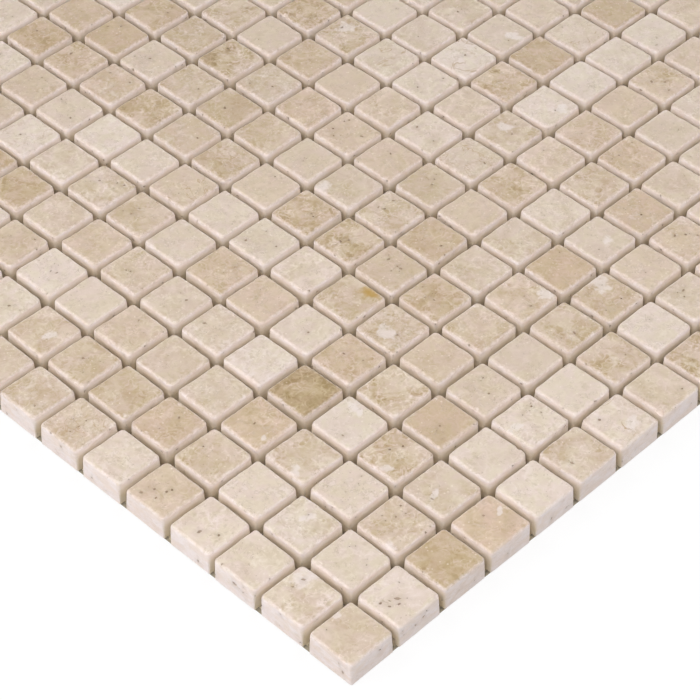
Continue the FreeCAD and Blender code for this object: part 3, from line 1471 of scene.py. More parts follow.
class YarnSet(Enum):
    """The two sets of yarns in the net: their frame node, their direction and what they cross."""

    WARP = ("net_warp", 1)
    WEFT = ("net_weft", 0)

    @property
    def node(self) -> str:
        """The frame's node."""
        return self.value[0]

    @property
    def axis(self) -> int:
        """The axis that the yarns run along."""
        return self.value[1]


@dataclass
class YarnLayer:
    """One set of flat glass-fibre yarns.

    Attributes:
        yarns: Which set it is.
        spacing: Distance from one yarn to the next, in millimetres.
        width: Width of a yarn where it is pressed flat at a crossing.
        waist: Width of a yarn halfway between two crossings.
        thinning: Share of its thickness that a yarn loses there.
        end_play: How far short of the net's edge a yarn may end.
        least_run: Least distance from a yarn's end to its next station.
        sway: How far a yarn sways from its line.
        sway_lengths: Shortest and longest wave of its sway.
        shift: How far the finish may be shifted along a yarn.
        steps: Number of pieces of yarn between two crossings.
        sides: Number of sides of a yarn's section.
        sharp: Edges that turn by more than this, in degrees, stay sharp.
        piece: The layer's piece, once it is built.
    """

    yarns: YarnSet
    spacing: float = 5.0
    width: float = 1.0
    waist: float = 0.62
    thinning: float = 0.20
    end_play: float = 0.45
    least_run: float = 0.3
    sway: float = 0.10
    sway_lengths: tuple[float, float] = (60.0, 140.0)
    shift: float = 50.0
    steps: int = 2
    sides: int = 6
    sharp: float = 75.0
    piece: bpy.types.Object | None = None

    def _line(self, place: float, low: Array, high: Array, rng: Random) -> Array:
        """Middle line of one yarn, with its width and thickness.

        Args:
            place: Where the yarn lies across its run.
            low: Lowest corner of the layer's box.
            high: Highest corner of the layer's box.
            rng: Random source.

        Returns:
            One row for each station: run, across, height, half width and half thickness.
        """
        axis = self.yarns.axis
        start = low[axis] + rng.uniform(0.0, self.end_play)
        end = high[axis] - rng.uniform(0.0, self.end_play)
        crossings = round((high[axis] - low[axis] - self.width) / self.spacing)
        half = 0.5 * crossings * self.spacing
        run = np.linspace(-half, half, crossings * self.steps + 1)
        inner = (run > start + self.least_run) & (run < end - self.least_run)
        run = np.concatenate([[start], run[inner], [end]])
        press = 0.5 + 0.5 * np.cos(math.tau * run / self.spacing)
        half_width = 0.5 * (self.waist + (self.width - self.waist) * press)
        room = 0.5 * (high[2] - low[2])
        waves = math.tau * run / rng.uniform(*self.sway_lengths) + rng.uniform(0, math.tau)
        to_edge = 0.5 * (high[1 - axis] - low[1 - axis]) - abs(place)
        across = place + self.sway * np.sin(waves) * (to_edge > self.width)
        height = np.full(len(run), low[2] + room)
        half_height = room * (1 - self.thinning + self.thinning * press)
        return np.column_stack([run, across, height, half_width, half_height])

    def _tube(self, line: Array) -> tuple[Array, Array]:
        """A closed flattened tube along a yarn's middle line.

        Args:
            line: Rows from the middle line.

        Returns:
            Points and triangles.
        """
        axis = self.yarns.axis
        angles = (np.arange(self.sides) + 0.5) * math.tau / self.sides
        bulge = 1 / math.cos(math.pi / self.sides)
        rings = []
        for run, across, height, half_width, half_height in line:
            ring = np.zeros((self.sides, 3))
            ring[:, axis] = run
            ring[:, 1 - axis] = across + half_width * np.cos(angles)
            ring[:, 2] = height + half_height * np.clip(bulge * np.sin(angles), -1, 1)
            rings.append(ring)
        points = np.concatenate(rings)
        quads = []
        for ring in range(len(line) - 1):
            first = ring * self.sides + np.arange(self.sides)
            second = ring * self.sides + (np.arange(self.sides) + 1) % self.sides
            quads.append(np.column_stack([first, second, second + self.sides]))
            quads.append(np.column_stack([first, second + self.sides, first + self.sides]))
        caps = []
        last = (len(line) - 1) * self.sides
        for k in range(1, self.sides - 1):
            caps.append((0, k + 1, k))
            caps.append((last, last + k, last + k + 1))
        triangles = np.concatenate([*quads, np.array(caps)])
        return points, triangles if axis == 0 else triangles[:, ::-1]

    def build(self) -> bpy.types.Object:
        """Builds the layer as one piece.

        Returns:
            The piece.
        """
        low, high = box_in_mm(self.yarns.node)
        across = 1 - self.yarns.axis
        count = round((high[across] - low[across] - self.width) / self.spacing) + 1
        rng = np.random.default_rng([SEED, NET_DRAWS + self.yarns.axis])
        points, triangles, places, start = [], [], [], 0
        for index in range(count):
            middle = (index - (count - 1) / 2) * self.spacing
            tube, faces = self._tube(self._line(middle, low, high, rng))
            points.append(tube)
            triangles.append(faces + start)
            along = tube[:, self.yarns.axis] + rng.uniform(-self.shift, self.shift)
            places.append(np.column_stack([along, tube[:, across] - middle, tube[:, 2]]))
            start += len(tube)
        name = f"glass_fibre_{self.yarns.name.lower()}"
        sharp = math.radians(self.sharp)
        self.piece = mesh_from(name, np.concatenate(points), np.concatenate(triangles), sharp)
        set_point_values(self.piece.data, "yarn_place", np.concatenate(places))
        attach(self.piece, BODY)
        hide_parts(self.yarns.node)
        return self.piece

    def dress(self, finish: bpy.types.Material) -> None:
        """Gives the yarns their finish."""
        self.piece.data.materials.append(finish)


# Finishes


class NodeSketch:
    """Writes shader nodes into one tree."""

    RAGGED = (1.9, 1.9, 0.0)
    RAGGED_MIDDLE = (0.95, 0.95, 0.0)
    PATCH_LEVEL = 1.15

    def __init__(self, tree: bpy.types.NodeTree) -> None:
        """Starts on a tree.

        Args:
            tree: The tree to write into.
        """
        self.tree = tree

    def add(
        self, kind: str, values: Mapping[str | int, Value] | None = None, **settings: object
    ) -> bpy.types.Node:
        """Adds a node, sets it up and feeds its inputs.

        Args:
            kind: The node's type.
            values: For each input, by name or number, a constant or another node's output.
            **settings: The node's own settings.

        Returns:
            The node.
        """
        node = self.tree.nodes.new(kind)
        index = len(self.tree.nodes)
        node.location = (240 * (index % 9), -300 * (index // 9))
        for name, setting in settings.items():
            setattr(node, name, setting)
        for key, value in (values or {}).items():
            if isinstance(value, bpy.types.NodeSocket):
                self.tree.links.new(value, node.inputs[key])
            else:
                node.inputs[key].default_value = value
        return node

    def math(self, operation: str, first: Value, second: Value = 0.0, clamp: bool = False) -> Socket:
        """One sum on two numbers.

        Args:
            operation: The sum.
            first: The first number.
            second: The second number, if the sum takes one.
            clamp: Whether the result is held between 0 and 1.

        Returns:
            The result.
        """
        values = {0: first, 1: second}
        return self.add("ShaderNodeMath", values, operation=operation, use_clamp=clamp).outputs[0]

    def times(self, first: Value, second: Value) -> Socket:
        """The product of two numbers."""
        return self.math("MULTIPLY", first, second)

    def plus(self, first: Value, second: Value) -> Socket:
        """The sum of two numbers."""
        return self.math("ADD", first, second)

    def scaled(self, value: Value, factor: Value, offset: Value = 0.0) -> Socket:
        """A number times a factor, plus an offset."""
        values = {0: value, 1: factor, 2: offset}
        return self.add("ShaderNodeMath", values, operation="MULTIPLY_ADD").outputs[0]

    def swung(self, value: Value, swing: float) -> Socket:
        """A number about a half made into one about 0, with its whole range as wide as the swing."""
        return self.scaled(value, swing, -swing / 2)

    def mix(self, share: Value, first: Value, second: Value, blend: str = "MIX") -> Socket:
        """A mix of two colours.

        Args:
            share: How much of the second, from 0 to 1.
            first: The first colour.
            second: The second colour.
            blend: How they mix.

        Returns:
            The mixed colour.
        """
        values = {0: share, 6: first, 7: second}
        settings = {"data_type": "RGBA", "blend_type": blend, "clamp_factor": True}
        return self.add("ShaderNodeMix", values, **settings).outputs[2]

    def remap(
        self, value: Value, low: Value, high: Value, start: Value = 0.0, end: Value = 1.0
    ) -> Socket:
        """Eases a number from one range into another, held at both ends.

        Args:
            value: The number.
            low: Where the first range starts.
            high: Where it ends.
            start: What the number becomes at its start.
            end: What it becomes at its end.

        Returns:
            The eased number.
        """
        values = {0: value, 1: low, 2: high, 3: start, 4: end}
        return self.add("ShaderNodeMapRange", values, interpolation_type="SMOOTHSTEP").outputs[0]

    def noise(
        self, place: Value, scale: Value, detail: float, roughness: float = 0.5, bend: float = 0.0
    ) -> Socket:
        """Cloudy noise, from 0 to 1.

        Args:
            place: Where to look it up.
            scale: Features for each unit of length.
            detail: Number of finer layers.
            roughness: Strength of the finer layers.
            bend: How far it is pulled out of shape.

        Returns:
            The noise.
        """
        values = {
            "Vector": place,
            "Scale": scale,
            "Detail": detail,
            "Roughness": roughness,
            "Distortion": bend,
        }
        return self.add("ShaderNodeTexNoise", values).outputs[0]

    def ramp(self, value: Value, stops: Sequence[tuple[float, Colour]]) -> Socket:
        """A colour looked up by a number.

        Args:
            value: The number, from 0 to 1.
            stops: Places and colours, in order.

        Returns:
            The colour.
        """
        node = self.add("ShaderNodeValToRGB", {0: value})
        elements = node.color_ramp.elements
        while len(elements) < len(stops):
            elements.new(1.0)
        for element, (place, colour) in zip(elements, stops):
            element.position = place
            element.color = colour
        return node.outputs[0]

    def reading(self, name: str, output: str = "Fac") -> Socket:
        """What a mesh stores at its points under a name."""
        return self.add("ShaderNodeAttribute", attribute_name=name).outputs[output]

    def nearness(self, name: str, place: Socket) -> Socket:
        """How far in a patch with a ragged outline the surface is.

        Args:
            name: What the mesh calls the patch.
            place: Where to look up the raggedness.

        Returns:
            About 1 in the patch's middle and 0 outside it.
        """
        noise = self.add("ShaderNodeTexNoise", {"Vector": place, "Scale": 0.42, "Detail": 3.0})
        reach = self.add(
            "ShaderNodeVectorMath",
            {0: self.reading(name, "Vector"), 1: self.RAGGED_MIDDLE},
            operation="SUBTRACT",
        )
        reach = self.add(
            "ShaderNodeVectorMath",
            {0: noise.outputs["Color"], 1: self.RAGGED, 2: reach.outputs[0]},
            operation="MULTIPLY_ADD",
        )
        both = {0: reach.outputs[0], 1: reach.outputs[0]}
        squared = self.add("ShaderNodeVectorMath", both, operation="DOT_PRODUCT").outputs["Value"]
        held = self.math("MINIMUM", squared, self.PATCH_LEVEL)
        return self.math("SUBTRACT", self.PATCH_LEVEL, held)

    def surface(
        self, colour: Socket, rough: Socket, height: Socket, relief: float, strength: float
    ) -> None:
        """Ends a material with its surface.

        Args:
            colour: Its colour.
            rough: Its roughness.
            height: Height of its fine relief, from 0 to 1.
            relief: Depth of the relief, in metres.
            strength: How strongly the relief shows.
        """
        bumped = {"Strength": strength, "Distance": relief, "Height": height}
        normal = self.add("ShaderNodeBump", bumped).outputs[0]
        fed = {"Base Color": colour, "Roughness": rough, "Normal": normal}
        shader = self.add("ShaderNodeBsdfPrincipled", fed)
        self.add("ShaderNodeOutputMaterial", {"Surface": shader.outputs[0]})


class SocketKind(Enum):
    """Kinds of input and output of a shared effect."""

    NUMBER = "NodeSocketFloat"
    PLACE = "NodeSocketVector"
    COLOUR = "NodeSocketColor"


class Effect:
    """A shader effect that several finishes share: a node group with named inputs and outputs."""

    name = "effect"
    inputs: tuple[tuple[str, SocketKind, float | None], ...] = ()
    outputs: tuple[str, ...] = ("Value",)

    def __init__(self) -> None:
        """Builds the group once."""
        self.tree = bpy.data.node_groups.new(self.name, "ShaderNodeTree")
        for name, kind, usual in self.inputs:
            made = self.tree.interface.new_socket(name, in_out="INPUT", socket_type=kind.value)
            if usual is not None:
                made.default_value = usual
        for name in self.outputs:
            kind = SocketKind.NUMBER.value
            self.tree.interface.new_socket(name, in_out="OUTPUT", socket_type=kind)
        sketch = NodeSketch(self.tree)
        given = sketch.add("NodeGroupInput").outputs
        results = self.write(sketch, given)
        sketch.add("NodeGroupOutput", dict(enumerate(results)))

    def put(self, sketch: NodeSketch, *values: Value) -> Sockets:
        """Puts the effect into a finish.

        Args:
            sketch: Writes into the finish.
            *values: What feeds each input, in order.

        Returns:
            The effect's outputs.
        """
        fed = {name: value for (name, _, _), value in zip(self.inputs, values, strict=True)}
        return sketch.add("ShaderNodeGroup", fed, node_tree=self.tree).outputs

    def write(self, sketch: NodeSketch, given: Sockets) -> Sequence[Socket]:
        """Writes the effect's nodes.

        Args:
            sketch: Writes into the group's tree.
            given: The group's inputs.

        Returns:
            What goes to each output.
        """
        raise NotImplementedError


@dataclass(frozen=True)
class Cloud:
    """One layer of clouds in a finish.

    Attributes:
        size: Size of a cloud, in millimetres.
        contrast: How softly clouds end. The lower, the crisper.
        swing: How far they move what they act on, from their darkest to their palest.
    """

    size: float
    contrast: float
    swing: float = 1.0


class Clouds(Effect):
    """Soft clouds of a given size."""

    name = "clouds"
    inputs = (
        ("Place", SocketKind.PLACE, None),
        ("Size", SocketKind.NUMBER, 5.0),
        ("Contrast", SocketKind.NUMBER, 0.2),
    )

    def write(self, sketch: NodeSketch, given: Sockets) -> Sequence[Socket]:
        """Writes the clouds.

        Args:
            sketch: Writes into the group's tree.
            given: The group's inputs.

        Returns:
            Clouds from 0 to 1 about a half.
        """
        scale = sketch.math("DIVIDE", 1.0, given["Size"])
        noise = sketch.noise(given["Place"], scale, 4.0, 0.58, 0.7)
        low = sketch.math("SUBTRACT", 0.5, given["Contrast"])
        high = sketch.plus(0.5, given["Contrast"])
        return [sketch.remap(noise, low, high)]

    def layer(self, sketch: NodeSketch, place: Socket, cloud: Cloud) -> Socket:
        """Puts one layer of clouds into a finish, from 0 to 1."""
        return self.put(sketch, place, cloud.size, cloud.contrast)[0]


class Grain(Effect):
    """Fine mottling and the roughness that goes with it."""

    name = "grain"
    inputs = (("Place", SocketKind.PLACE, None), ("Size", SocketKind.NUMBER, 0.5))
    outputs = ("Value", "Height")

    def write(self, sketch: NodeSketch, given: Sockets) -> Sequence[Socket]:
        """Writes the grain.

        Args:
            sketch: Writes into the group's tree.
            given: The group's inputs.

        Returns:
            Mottling and height, both about a half.
        """
        scale = sketch.math("DIVIDE", 1.0, given["Size"])
        coarse = sketch.noise(given["Place"], scale, 3.0, 0.6, 0.3)
        fine = sketch.noise(given["Place"], sketch.times(scale, 3.3), 2.0, 0.6)
        return [coarse, sketch.scaled(sketch.plus(coarse, fine), 0.5)]


class Pores(Effect):
    """Small round specks scattered in drifts."""

    name = "pores"
    inputs = (
        ("Place", SocketKind.PLACE, None),
        ("Spacing", SocketKind.NUMBER, 1.0),
        ("Radius", SocketKind.NUMBER, 0.25),
        ("Share", SocketKind.NUMBER, 0.3),
    )

    def write(self, sketch: NodeSketch, given: Sockets) -> Sequence[Socket]:
        """Writes the specks.

        Args:
            sketch: Writes into the group's tree.
            given: The group's inputs.

        Returns:
            1 in a speck and 0 outside.
        """
        scale = sketch.math("DIVIDE", 1.0, given["Spacing"])
        wobble = sketch.noise(given["Place"], sketch.times(scale, 2.5), 1.0)
        cells = sketch.add("ShaderNodeTexVoronoi", {"Vector": given["Place"], "Scale": scale})
        drift = sketch.noise(given["Place"], sketch.times(scale, 0.16), 2.0)
        drift = sketch.remap(drift, 0.42, 0.66, 0.25, 1.9)
        colour = sketch.add("ShaderNodeSeparateColor", {0: cells.outputs["Color"]})
        present = sketch.math(
            "LESS_THAN", colour.outputs[0], sketch.times(given["Share"], drift)
        )
        size = sketch.scaled(colour.outputs[1], 0.7, 0.5)
        radius = sketch.times(given["Radius"], size)
        radius = sketch.times(radius, sketch.scaled(wobble, 1.2, 0.4))
        inner = sketch.times(radius, 0.6)
        dot = sketch.remap(cells.outputs["Distance"], inner, radius, 1.0, 0.0)
        return [sketch.times(dot, present)]


class Threads(Effect):
    """Winding threads with soft edges, like curds."""

    name = "threads"
    inputs = (("Place", SocketKind.PLACE, None), ("Size", SocketKind.NUMBER, 2.0))

    def write(self, sketch: NodeSketch, given: Sockets) -> Sequence[Socket]:
        """Writes the threads.

        Args:
            sketch: Writes into the group's tree.
            given: The group's inputs.

        Returns:
            1 in the middle of a thread and 0 between threads.
        """
        scale = sketch.math("DIVIDE", 1.0, given["Size"])
        noise = sketch.noise(given["Place"], scale, 1.5, 0.5, 0.6)
        away = sketch.math("ABSOLUTE", sketch.math("SUBTRACT", noise, 0.5))
        return [sketch.remap(away, 0.0, 0.1, 1.0, 0.0)]


class Veins(Effect):
    """Thin wavy veins."""

    name = "veins"
    inputs = (
        ("Place", SocketKind.PLACE, None),
        ("Size", SocketKind.NUMBER, 8.0),
        ("Width", SocketKind.NUMBER, 0.02),
    )

    def write(self, sketch: NodeSketch, given: Sockets) -> Sequence[Socket]:
        """Writes the veins.

        Args:
            sketch: Writes into the group's tree.
            given: The group's inputs.

        Returns:
            1 on a vein and 0 away from it.
        """
        scale = sketch.math("DIVIDE", 1.0, given["Size"])
        noise = sketch.noise(given["Place"], scale, 3.0, 0.55, 1.2)
        away = sketch.math("ABSOLUTE", sketch.math("SUBTRACT", noise, 0.5))
        line = sketch.remap(away, 0.0, given["Width"], 1.0, 0.0)
        broken = sketch.remap(sketch.noise(given["Place"], scale, 1.0), 0.4, 0.55)
        return [sketch.times(line, broken)]


@dataclass(frozen=True)
class Effects:
    """The shared effects, each built once."""

    clouds: Clouds = field(default_factory=Clouds)
    grain: Grain = field(default_factory=Grain)
    pores: Pores = field(default_factory=Pores)
    threads: Threads = field(default_factory=Threads)
    veins: Veins = field(default_factory=Veins)


def new_material(name: str) -> tuple[bpy.types.Material, NodeSketch]:
    """An empty node material.

    Args:
        name: Its name.

    Returns:
        The material and a sketch that writes into it.
    """
    material = bpy.data.materials.new(name)
    material.use_nodes = True
    material.node_tree.nodes.clear()
    return material, NodeSketch(material.node_tree)


@dataclass(frozen=True)
class TravertineFinish:
    """Honed and tumbled travertine.

    Attributes:
        tones: The stone's colours from dark to pale.
        blush: What warm stone is tinted with.
        rosy: Tint where the stone leans to pink.
        olive: Tint where the stone leans to green.
        crystal: Colour of calcite patches.
        fleck: Colour of small pale flecks.
        dust: Pale colour of the worn arris and the walls.
        pale_dust: The same in paler, cooler places.
        soil_and_shade: Dust and glue low in the joints, and painted shade there.
        rust: Stains of iron.
        stain: Soft darker spots.
        pore: Colour of small pores.
        pit_shade: Painted shade down in a pit.
        vein: Colour of veins.
        broad: Broad clouds in the tone.
        mottle: Small clouds in the tone.
        busy: Where the stone is busier and where plainer.
        leaning: Where it leans to pink and where to green.
        patches: Where calcite comes in patches.
        tatters: How ragged these are.
        stains: Soft spots.
        edging: How unevenly the arris is worn.
        drifts: Where dust is paler.
        grain_size: Size of the fine mottling, in millimetres.
        grain_swing: How far it moves the tone.
        curd_size: Size of curds, in millimetres.
        far_off: A place in the block far enough off to have clouds of its own.
        face_roughness: Roughness of the honed face.
        worn_roughness: Roughness of the worn arris and the walls.
        relief: Depth of the fine relief, in metres.
        relief_strength: How strongly it shows.
    """

    tones: tuple[tuple[float, Colour], ...] = (
        (0.00, srgb(149, 126, 87)),
        (0.22, srgb(178, 157, 125)),
        (0.42, srgb(195, 177, 156)),
        (0.60, srgb(206, 191, 175)),
        (0.78, srgb(217, 204, 192)),
        (1.00, srgb(228, 218, 211)),
    )
    blush: Colour = srgb(255, 241, 231)
    rosy: Colour = srgb(255, 251, 253)
    olive: Colour = srgb(254, 254, 246)
    crystal: Colour = srgb(229, 218, 214)
    dust: Colour = srgb(241, 224, 216)
    pale_dust: Colour = srgb(247, 236, 236)
    soil_and_shade: Colour = srgb(210, 196, 158)
    rust: Colour = srgb(172, 136, 58)
    stain: Colour = srgb(180, 164, 134)
    fleck: Colour = srgb(240, 230, 218)
    pore: Colour = srgb(168, 148, 124)
    pit_shade: Colour = srgb(142, 122, 101)
    vein: Colour = srgb(176, 147, 112)
    broad: Cloud = Cloud(6.5, 0.18, 0.44)
    mottle: Cloud = Cloud(2.0, 0.2, 0.28)
    busy: Cloud = Cloud(5.2, 0.14)
    leaning: Cloud = Cloud(5.0, 0.14)
    patches: Cloud = Cloud(4.2, 0.3, 0.7)
    tatters: Cloud = Cloud(1.5, 0.25, 0.56)
    stains: Cloud = Cloud(2.8, 0.3)
    edging: Cloud = Cloud(1.4, 0.25, 0.34)
    drifts: Cloud = Cloud(5.0, 0.2)
    grain_size: float = 0.55
    grain_swing: float = 0.1
    curd_size: float = 2.3
    far_off: tuple[float, float, float] = (61.0, 17.0, 43.0)
    face_roughness: float = 0.46
    worn_roughness: float = 0.56
    relief: float = 0.00012
    relief_strength: float = 0.8

    def _body(self, sketch: NodeSketch, effects: Effects, place: Socket, grain: Socket) -> Socket:
        """Colour of the stone itself, as a sawn and honed face shows it.

        Args:
            sketch: Writes into the material.
            effects: The shared effects.
            place: Where each point lay in the block.
            grain: The fine mottling.

        Returns:
            The colour.
        """
        broad = effects.clouds.layer(sketch, place, self.broad)
        mottle = effects.clouds.layer(sketch, place, self.mottle)
        curd = effects.threads.put(sketch, place, self.curd_size)[0]
        clouding = sketch.reading("clouding")
        busy = sketch.scaled(effects.clouds.layer(sketch, place, self.busy), 1.1, 0.25)
        drift = sketch.swung(broad, self.broad.swing)
        spots = sketch.swung(mottle, self.mottle.swing)
        spots = sketch.plus(spots, sketch.scaled(curd, 0.27, -0.09))
        swing = sketch.plus(drift, sketch.times(spots, busy))
        swing = sketch.times(sketch.scaled(clouding, 0.85, 0.1), swing)
        tone = sketch.plus(sketch.reading("tone"), swing)
        fine = sketch.times(busy, sketch.swung(grain, self.grain_swing))
        tone = sketch.plus(tone, fine)
        body = sketch.ramp(tone, self.tones)
        warm = sketch.times(sketch.reading("warmth"), sketch.scaled(broad, 0.6, 0.4))
        body = sketch.mix(warm, body, self.blush, "MULTIPLY")
        moved = sketch.add("ShaderNodeVectorMath", {0: place, 1: self.far_off}, operation="ADD")
        lean = effects.clouds.layer(sketch, moved.outputs[0], self.leaning)
        tint = sketch.mix(lean, self.rosy, self.olive)
        return sketch.mix(1.0, body, tint, "MULTIPLY")

    def _inclusions(
        self, sketch: NodeSketch, effects: Effects, place: Socket, body: Socket
    ) -> tuple[Socket, Socket, Socket]:
        """Calcite, flecks, veins and pores over the body.

        Args:
            sketch: Writes into the material.
            effects: The shared effects.
            place: Where each point lay in the block.
            body: Colour of the stone itself.

        Returns:
            The colour, the pores' mask and the fine cracks' mask.
        """
        patch = effects.clouds.layer(sketch, place, self.patches)
        calcite = sketch.scaled(sketch.nearness("crystal", place), 1.2, sketch.reading("calcite"))
        tatters = effects.clouds.layer(sketch, place, self.tatters)
        wanted = sketch.plus(calcite, sketch.swung(patch, self.patches.swing))
        wanted = sketch.plus(wanted, sketch.swung(tatters, self.tatters.swing))
        crystal = sketch.remap(wanted, 0.25, 1.3, 0.0, 0.6)
        colour = sketch.mix(crystal, body, self.crystal)
        past_edge = sketch.remap(wanted, 0.36, 0.46)
        rim = sketch.times(past_edge, sketch.remap(wanted, 0.5, 0.6, 1.0, 0.0))
        rim = sketch.times(rim, sketch.remap(patch, 0.4, 0.8, 0.0, 0.3))
        colour = sketch.mix(rim, colour, self.pore)
        fleck = effects.pores.put(sketch, place, 0.95, 0.32, 0.2)[0]
        colour = sketch.mix(sketch.times(fleck, 0.35), colour, self.fleck)
        stain = effects.clouds.layer(sketch, place, self.stains)
        colour = sketch.mix(sketch.remap(stain, 0.72, 1.0, 0.0, 0.4), colour, self.stain)
        vein = effects.veins.put(sketch, place, 9.0, 0.018)[0]
        share = sketch.times(vein, sketch.reading("veining"))
        colour = sketch.mix(share, colour, self.vein)
        porosity = sketch.reading("porosity")
        crack = effects.veins.put(sketch, place, 1.9, 0.02)[0]
        where = sketch.remap(sketch.noise(place, 0.22, 1.0), 0.52, 0.66, 0.0, 0.85)
        cracks = sketch.times(crack, where)
        share = sketch.scaled(porosity, 0.3, 0.01)
        pores = effects.pores.put(sketch, place, 0.75, 0.3, share)[0]
        colour = sketch.mix(sketch.times(pores, 0.5), colour, self.pore)
        return colour, pores, cracks

    def make(self, effects: Effects) -> bpy.types.Material:
        """Builds the material.

        Args:
            effects: The shared effects.

        Returns:
            The material.
        """
        material, sketch = new_material("tumbled_travertine")
        place = sketch.reading("block_place", "Vector")
        grain = effects.grain.put(sketch, place, self.grain_size)
        body = self._body(sketch, effects, place, grain["Value"])
        colour, pores, cracks = self._inclusions(sketch, effects, place, body)
        edge = effects.clouds.layer(sketch, place, self.edging)
        worn = sketch.plus(sketch.reading("worn"), sketch.swung(edge, self.edging.swing))
        worn = sketch.remap(worn, 0.14, 0.94)
        dusty = sketch.times(worn, sketch.scaled(edge, 0.18, 0.66))
        paler = effects.clouds.layer(sketch, place, self.drifts)
        paler = sketch.scaled(sketch.plus(paler, grain["Value"]), 1.2, -0.7)
        dust = sketch.mix(paler, self.dust, self.pale_dust)
        colour = sketch.mix(dusty, colour, dust)
        cracks = sketch.times(cracks, sketch.scaled(worn, -0.5, 1.0))
        colour = sketch.mix(cracks, colour, self.pore)
        rust = sketch.remap(sketch.nearness("rust", place), 0.05, 1.3, 0.0, 1.0)
        colour = sketch.mix(rust, colour, self.rust)
        # Dust and glue low in the joints, and painted shade there
        soil_and_shade = sketch.times(sketch.reading("soil_and_shade"), sketch.scaled(edge, 0.3, 0.44))
        colour = sketch.mix(soil_and_shade, colour, self.soil_and_shade)
        # Painted shade down in the pits
        pit = sketch.reading("pit")
        colour = sketch.mix(sketch.times(pit, 0.8), colour, self.pit_shade)
        rough = sketch.remap(worn, 0.0, 1.0, self.face_roughness, self.worn_roughness)
        rough = sketch.plus(rough, sketch.swung(grain["Value"], 0.2))
        rough = sketch.math("ADD", rough, sketch.times(pit, 0.2), clamp=True)
        relief = sketch.times(grain["Height"], sketch.scaled(worn, 0.8, 0.12))
        relief = sketch.math("SUBTRACT", relief, sketch.times(pores, 0.9))
        sketch.surface(colour, rough, relief, self.relief, self.relief_strength)
        return material


@dataclass(frozen=True)
class YarnFinish:
    """Coated glass-fibre yarn.

    Attributes:
        coat: Colour of the coating on a bundle's crown.
        furrow: Colour between two filaments.
        smear: Colour where glue has soaked in.
        glue: Where it has.
        stretch: How many times finer filaments are along, across and up the yarn.
        twist: Turn of the filaments to the yarn, in radians.
        filament_size: Size of a bundle of filaments, in millimetres.
        roughness: Roughness of the coating.
        relief: Depth of the filaments' relief, in metres.
        relief_strength: How strongly it shows.
    """

    coat: Colour = srgb(222, 212, 190)
    furrow: Colour = srgb(184, 171, 144)
    smear: Colour = srgb(196, 179, 146)
    glue: Cloud = Cloud(7.0, 0.12, 0.55)
    stretch: tuple[float, float, float] = (0.5, 5.0, 3.0)
    twist: float = 0.35
    filament_size: float = 0.8
    roughness: float = 0.42
    relief: float = 0.00006
    relief_strength: float = 0.7

    def make(self, effects: Effects) -> bpy.types.Material:
        """Builds the material.

        Args:
            effects: The shared effects.

        Returns:
            The material.
        """
        material, sketch = new_material("glass_fibre_yarn")
        place = sketch.reading("yarn_place", "Vector")
        laid = {"Vector": place, "Scale": self.stretch, "Rotation": (0, 0, self.twist)}
        stretched = sketch.add("ShaderNodeMapping", laid).outputs[0]
        filaments = effects.grain.put(sketch, stretched, self.filament_size)
        ridge = sketch.remap(filaments["Value"], 0.35, 0.65)
        colour = sketch.mix(ridge, self.furrow, self.coat)
        soaked = effects.clouds.layer(sketch, place, self.glue)
        colour = sketch.mix(sketch.times(soaked, self.glue.swing), colour, self.smear)
        rough = sketch.scaled(ridge, -0.12, self.roughness + 0.1)
        sketch.surface(colour, rough, filaments["Height"], self.relief, self.relief_strength)
        return material


@dataclass(frozen=True)
class FloorFinish:
    """A plain white floor that keeps a soft shadow, with painted shade where the sheet covers it.

    Attributes:
        colour: Its colour as the camera sees it.
        bounce: Its colour for the light that it sends back up.
        painted_shade: Its colour under the sheet: painted shade, seen down the joints between the yarns
            of the net.
        whiteness: How much of what the camera sees of it is plain white.
        under_sheet: Half the side of the square that the sheet covers, which is painted in shade, in
            metres.
    """

    colour: Colour = (0.96, 0.96, 0.96, 1.0)
    bounce: Colour = (0.52, 0.52, 0.52, 1.0)
    painted_shade: Colour = (0.36, 0.32, 0.25, 1.0)
    whiteness: float = 0.82
    under_sheet: float = 0.1515

    def make(self) -> bpy.types.Material:
        """Builds the material.

        Returns:
            The material.
        """
        material, sketch = new_material("white_floor")
        light = sketch.add("ShaderNodeEmission", {"Color": WHITE, "Strength": 1.0})
        place = sketch.add("ShaderNodeNewGeometry").outputs["Position"]
        across = sketch.add("ShaderNodeVectorMath", {0: place}, operation="ABSOLUTE").outputs[0]
        sides = sketch.add("ShaderNodeSeparateXYZ", {0: across}).outputs
        furthest = sketch.math("MAXIMUM", sides[0], sides[1])
        # Under the sheet the floor gets painted shade, for the camera and for bounced light alike
        open_floor = sketch.math("GREATER_THAN", furthest, self.under_sheet)
        seen = sketch.times(seen_directly(sketch), open_floor)
        paint = sketch.mix(open_floor, self.painted_shade, self.bounce)
        paint = sketch.mix(seen, paint, self.colour)
        paint = sketch.add("ShaderNodeBsdfDiffuse", {"Color": paint})
        share = sketch.times(seen, self.whiteness)
        mixed = sketch.add(
            "ShaderNodeMixShader", {0: share, 1: paint.outputs[0], 2: light.outputs[0]}
        )
        sketch.add("ShaderNodeOutputMaterial", {"Surface": mixed.outputs[0]})
        return material


def seen_directly(sketch: NodeSketch) -> Socket:
    """Tells what the camera, a reflection or a clear body sees from light that is spread.

    Args:
        sketch: Writes into the material.

    Returns:
        1 for what is seen and 0 for spread light.
    """
    path = sketch.add("ShaderNodeLightPath").outputs
    either = sketch.math("MAXIMUM", path["Is Camera Ray"], path["Is Glossy Ray"])
    return sketch.math("MAXIMUM", either, path["Is Transmission Ray"])


# Studio


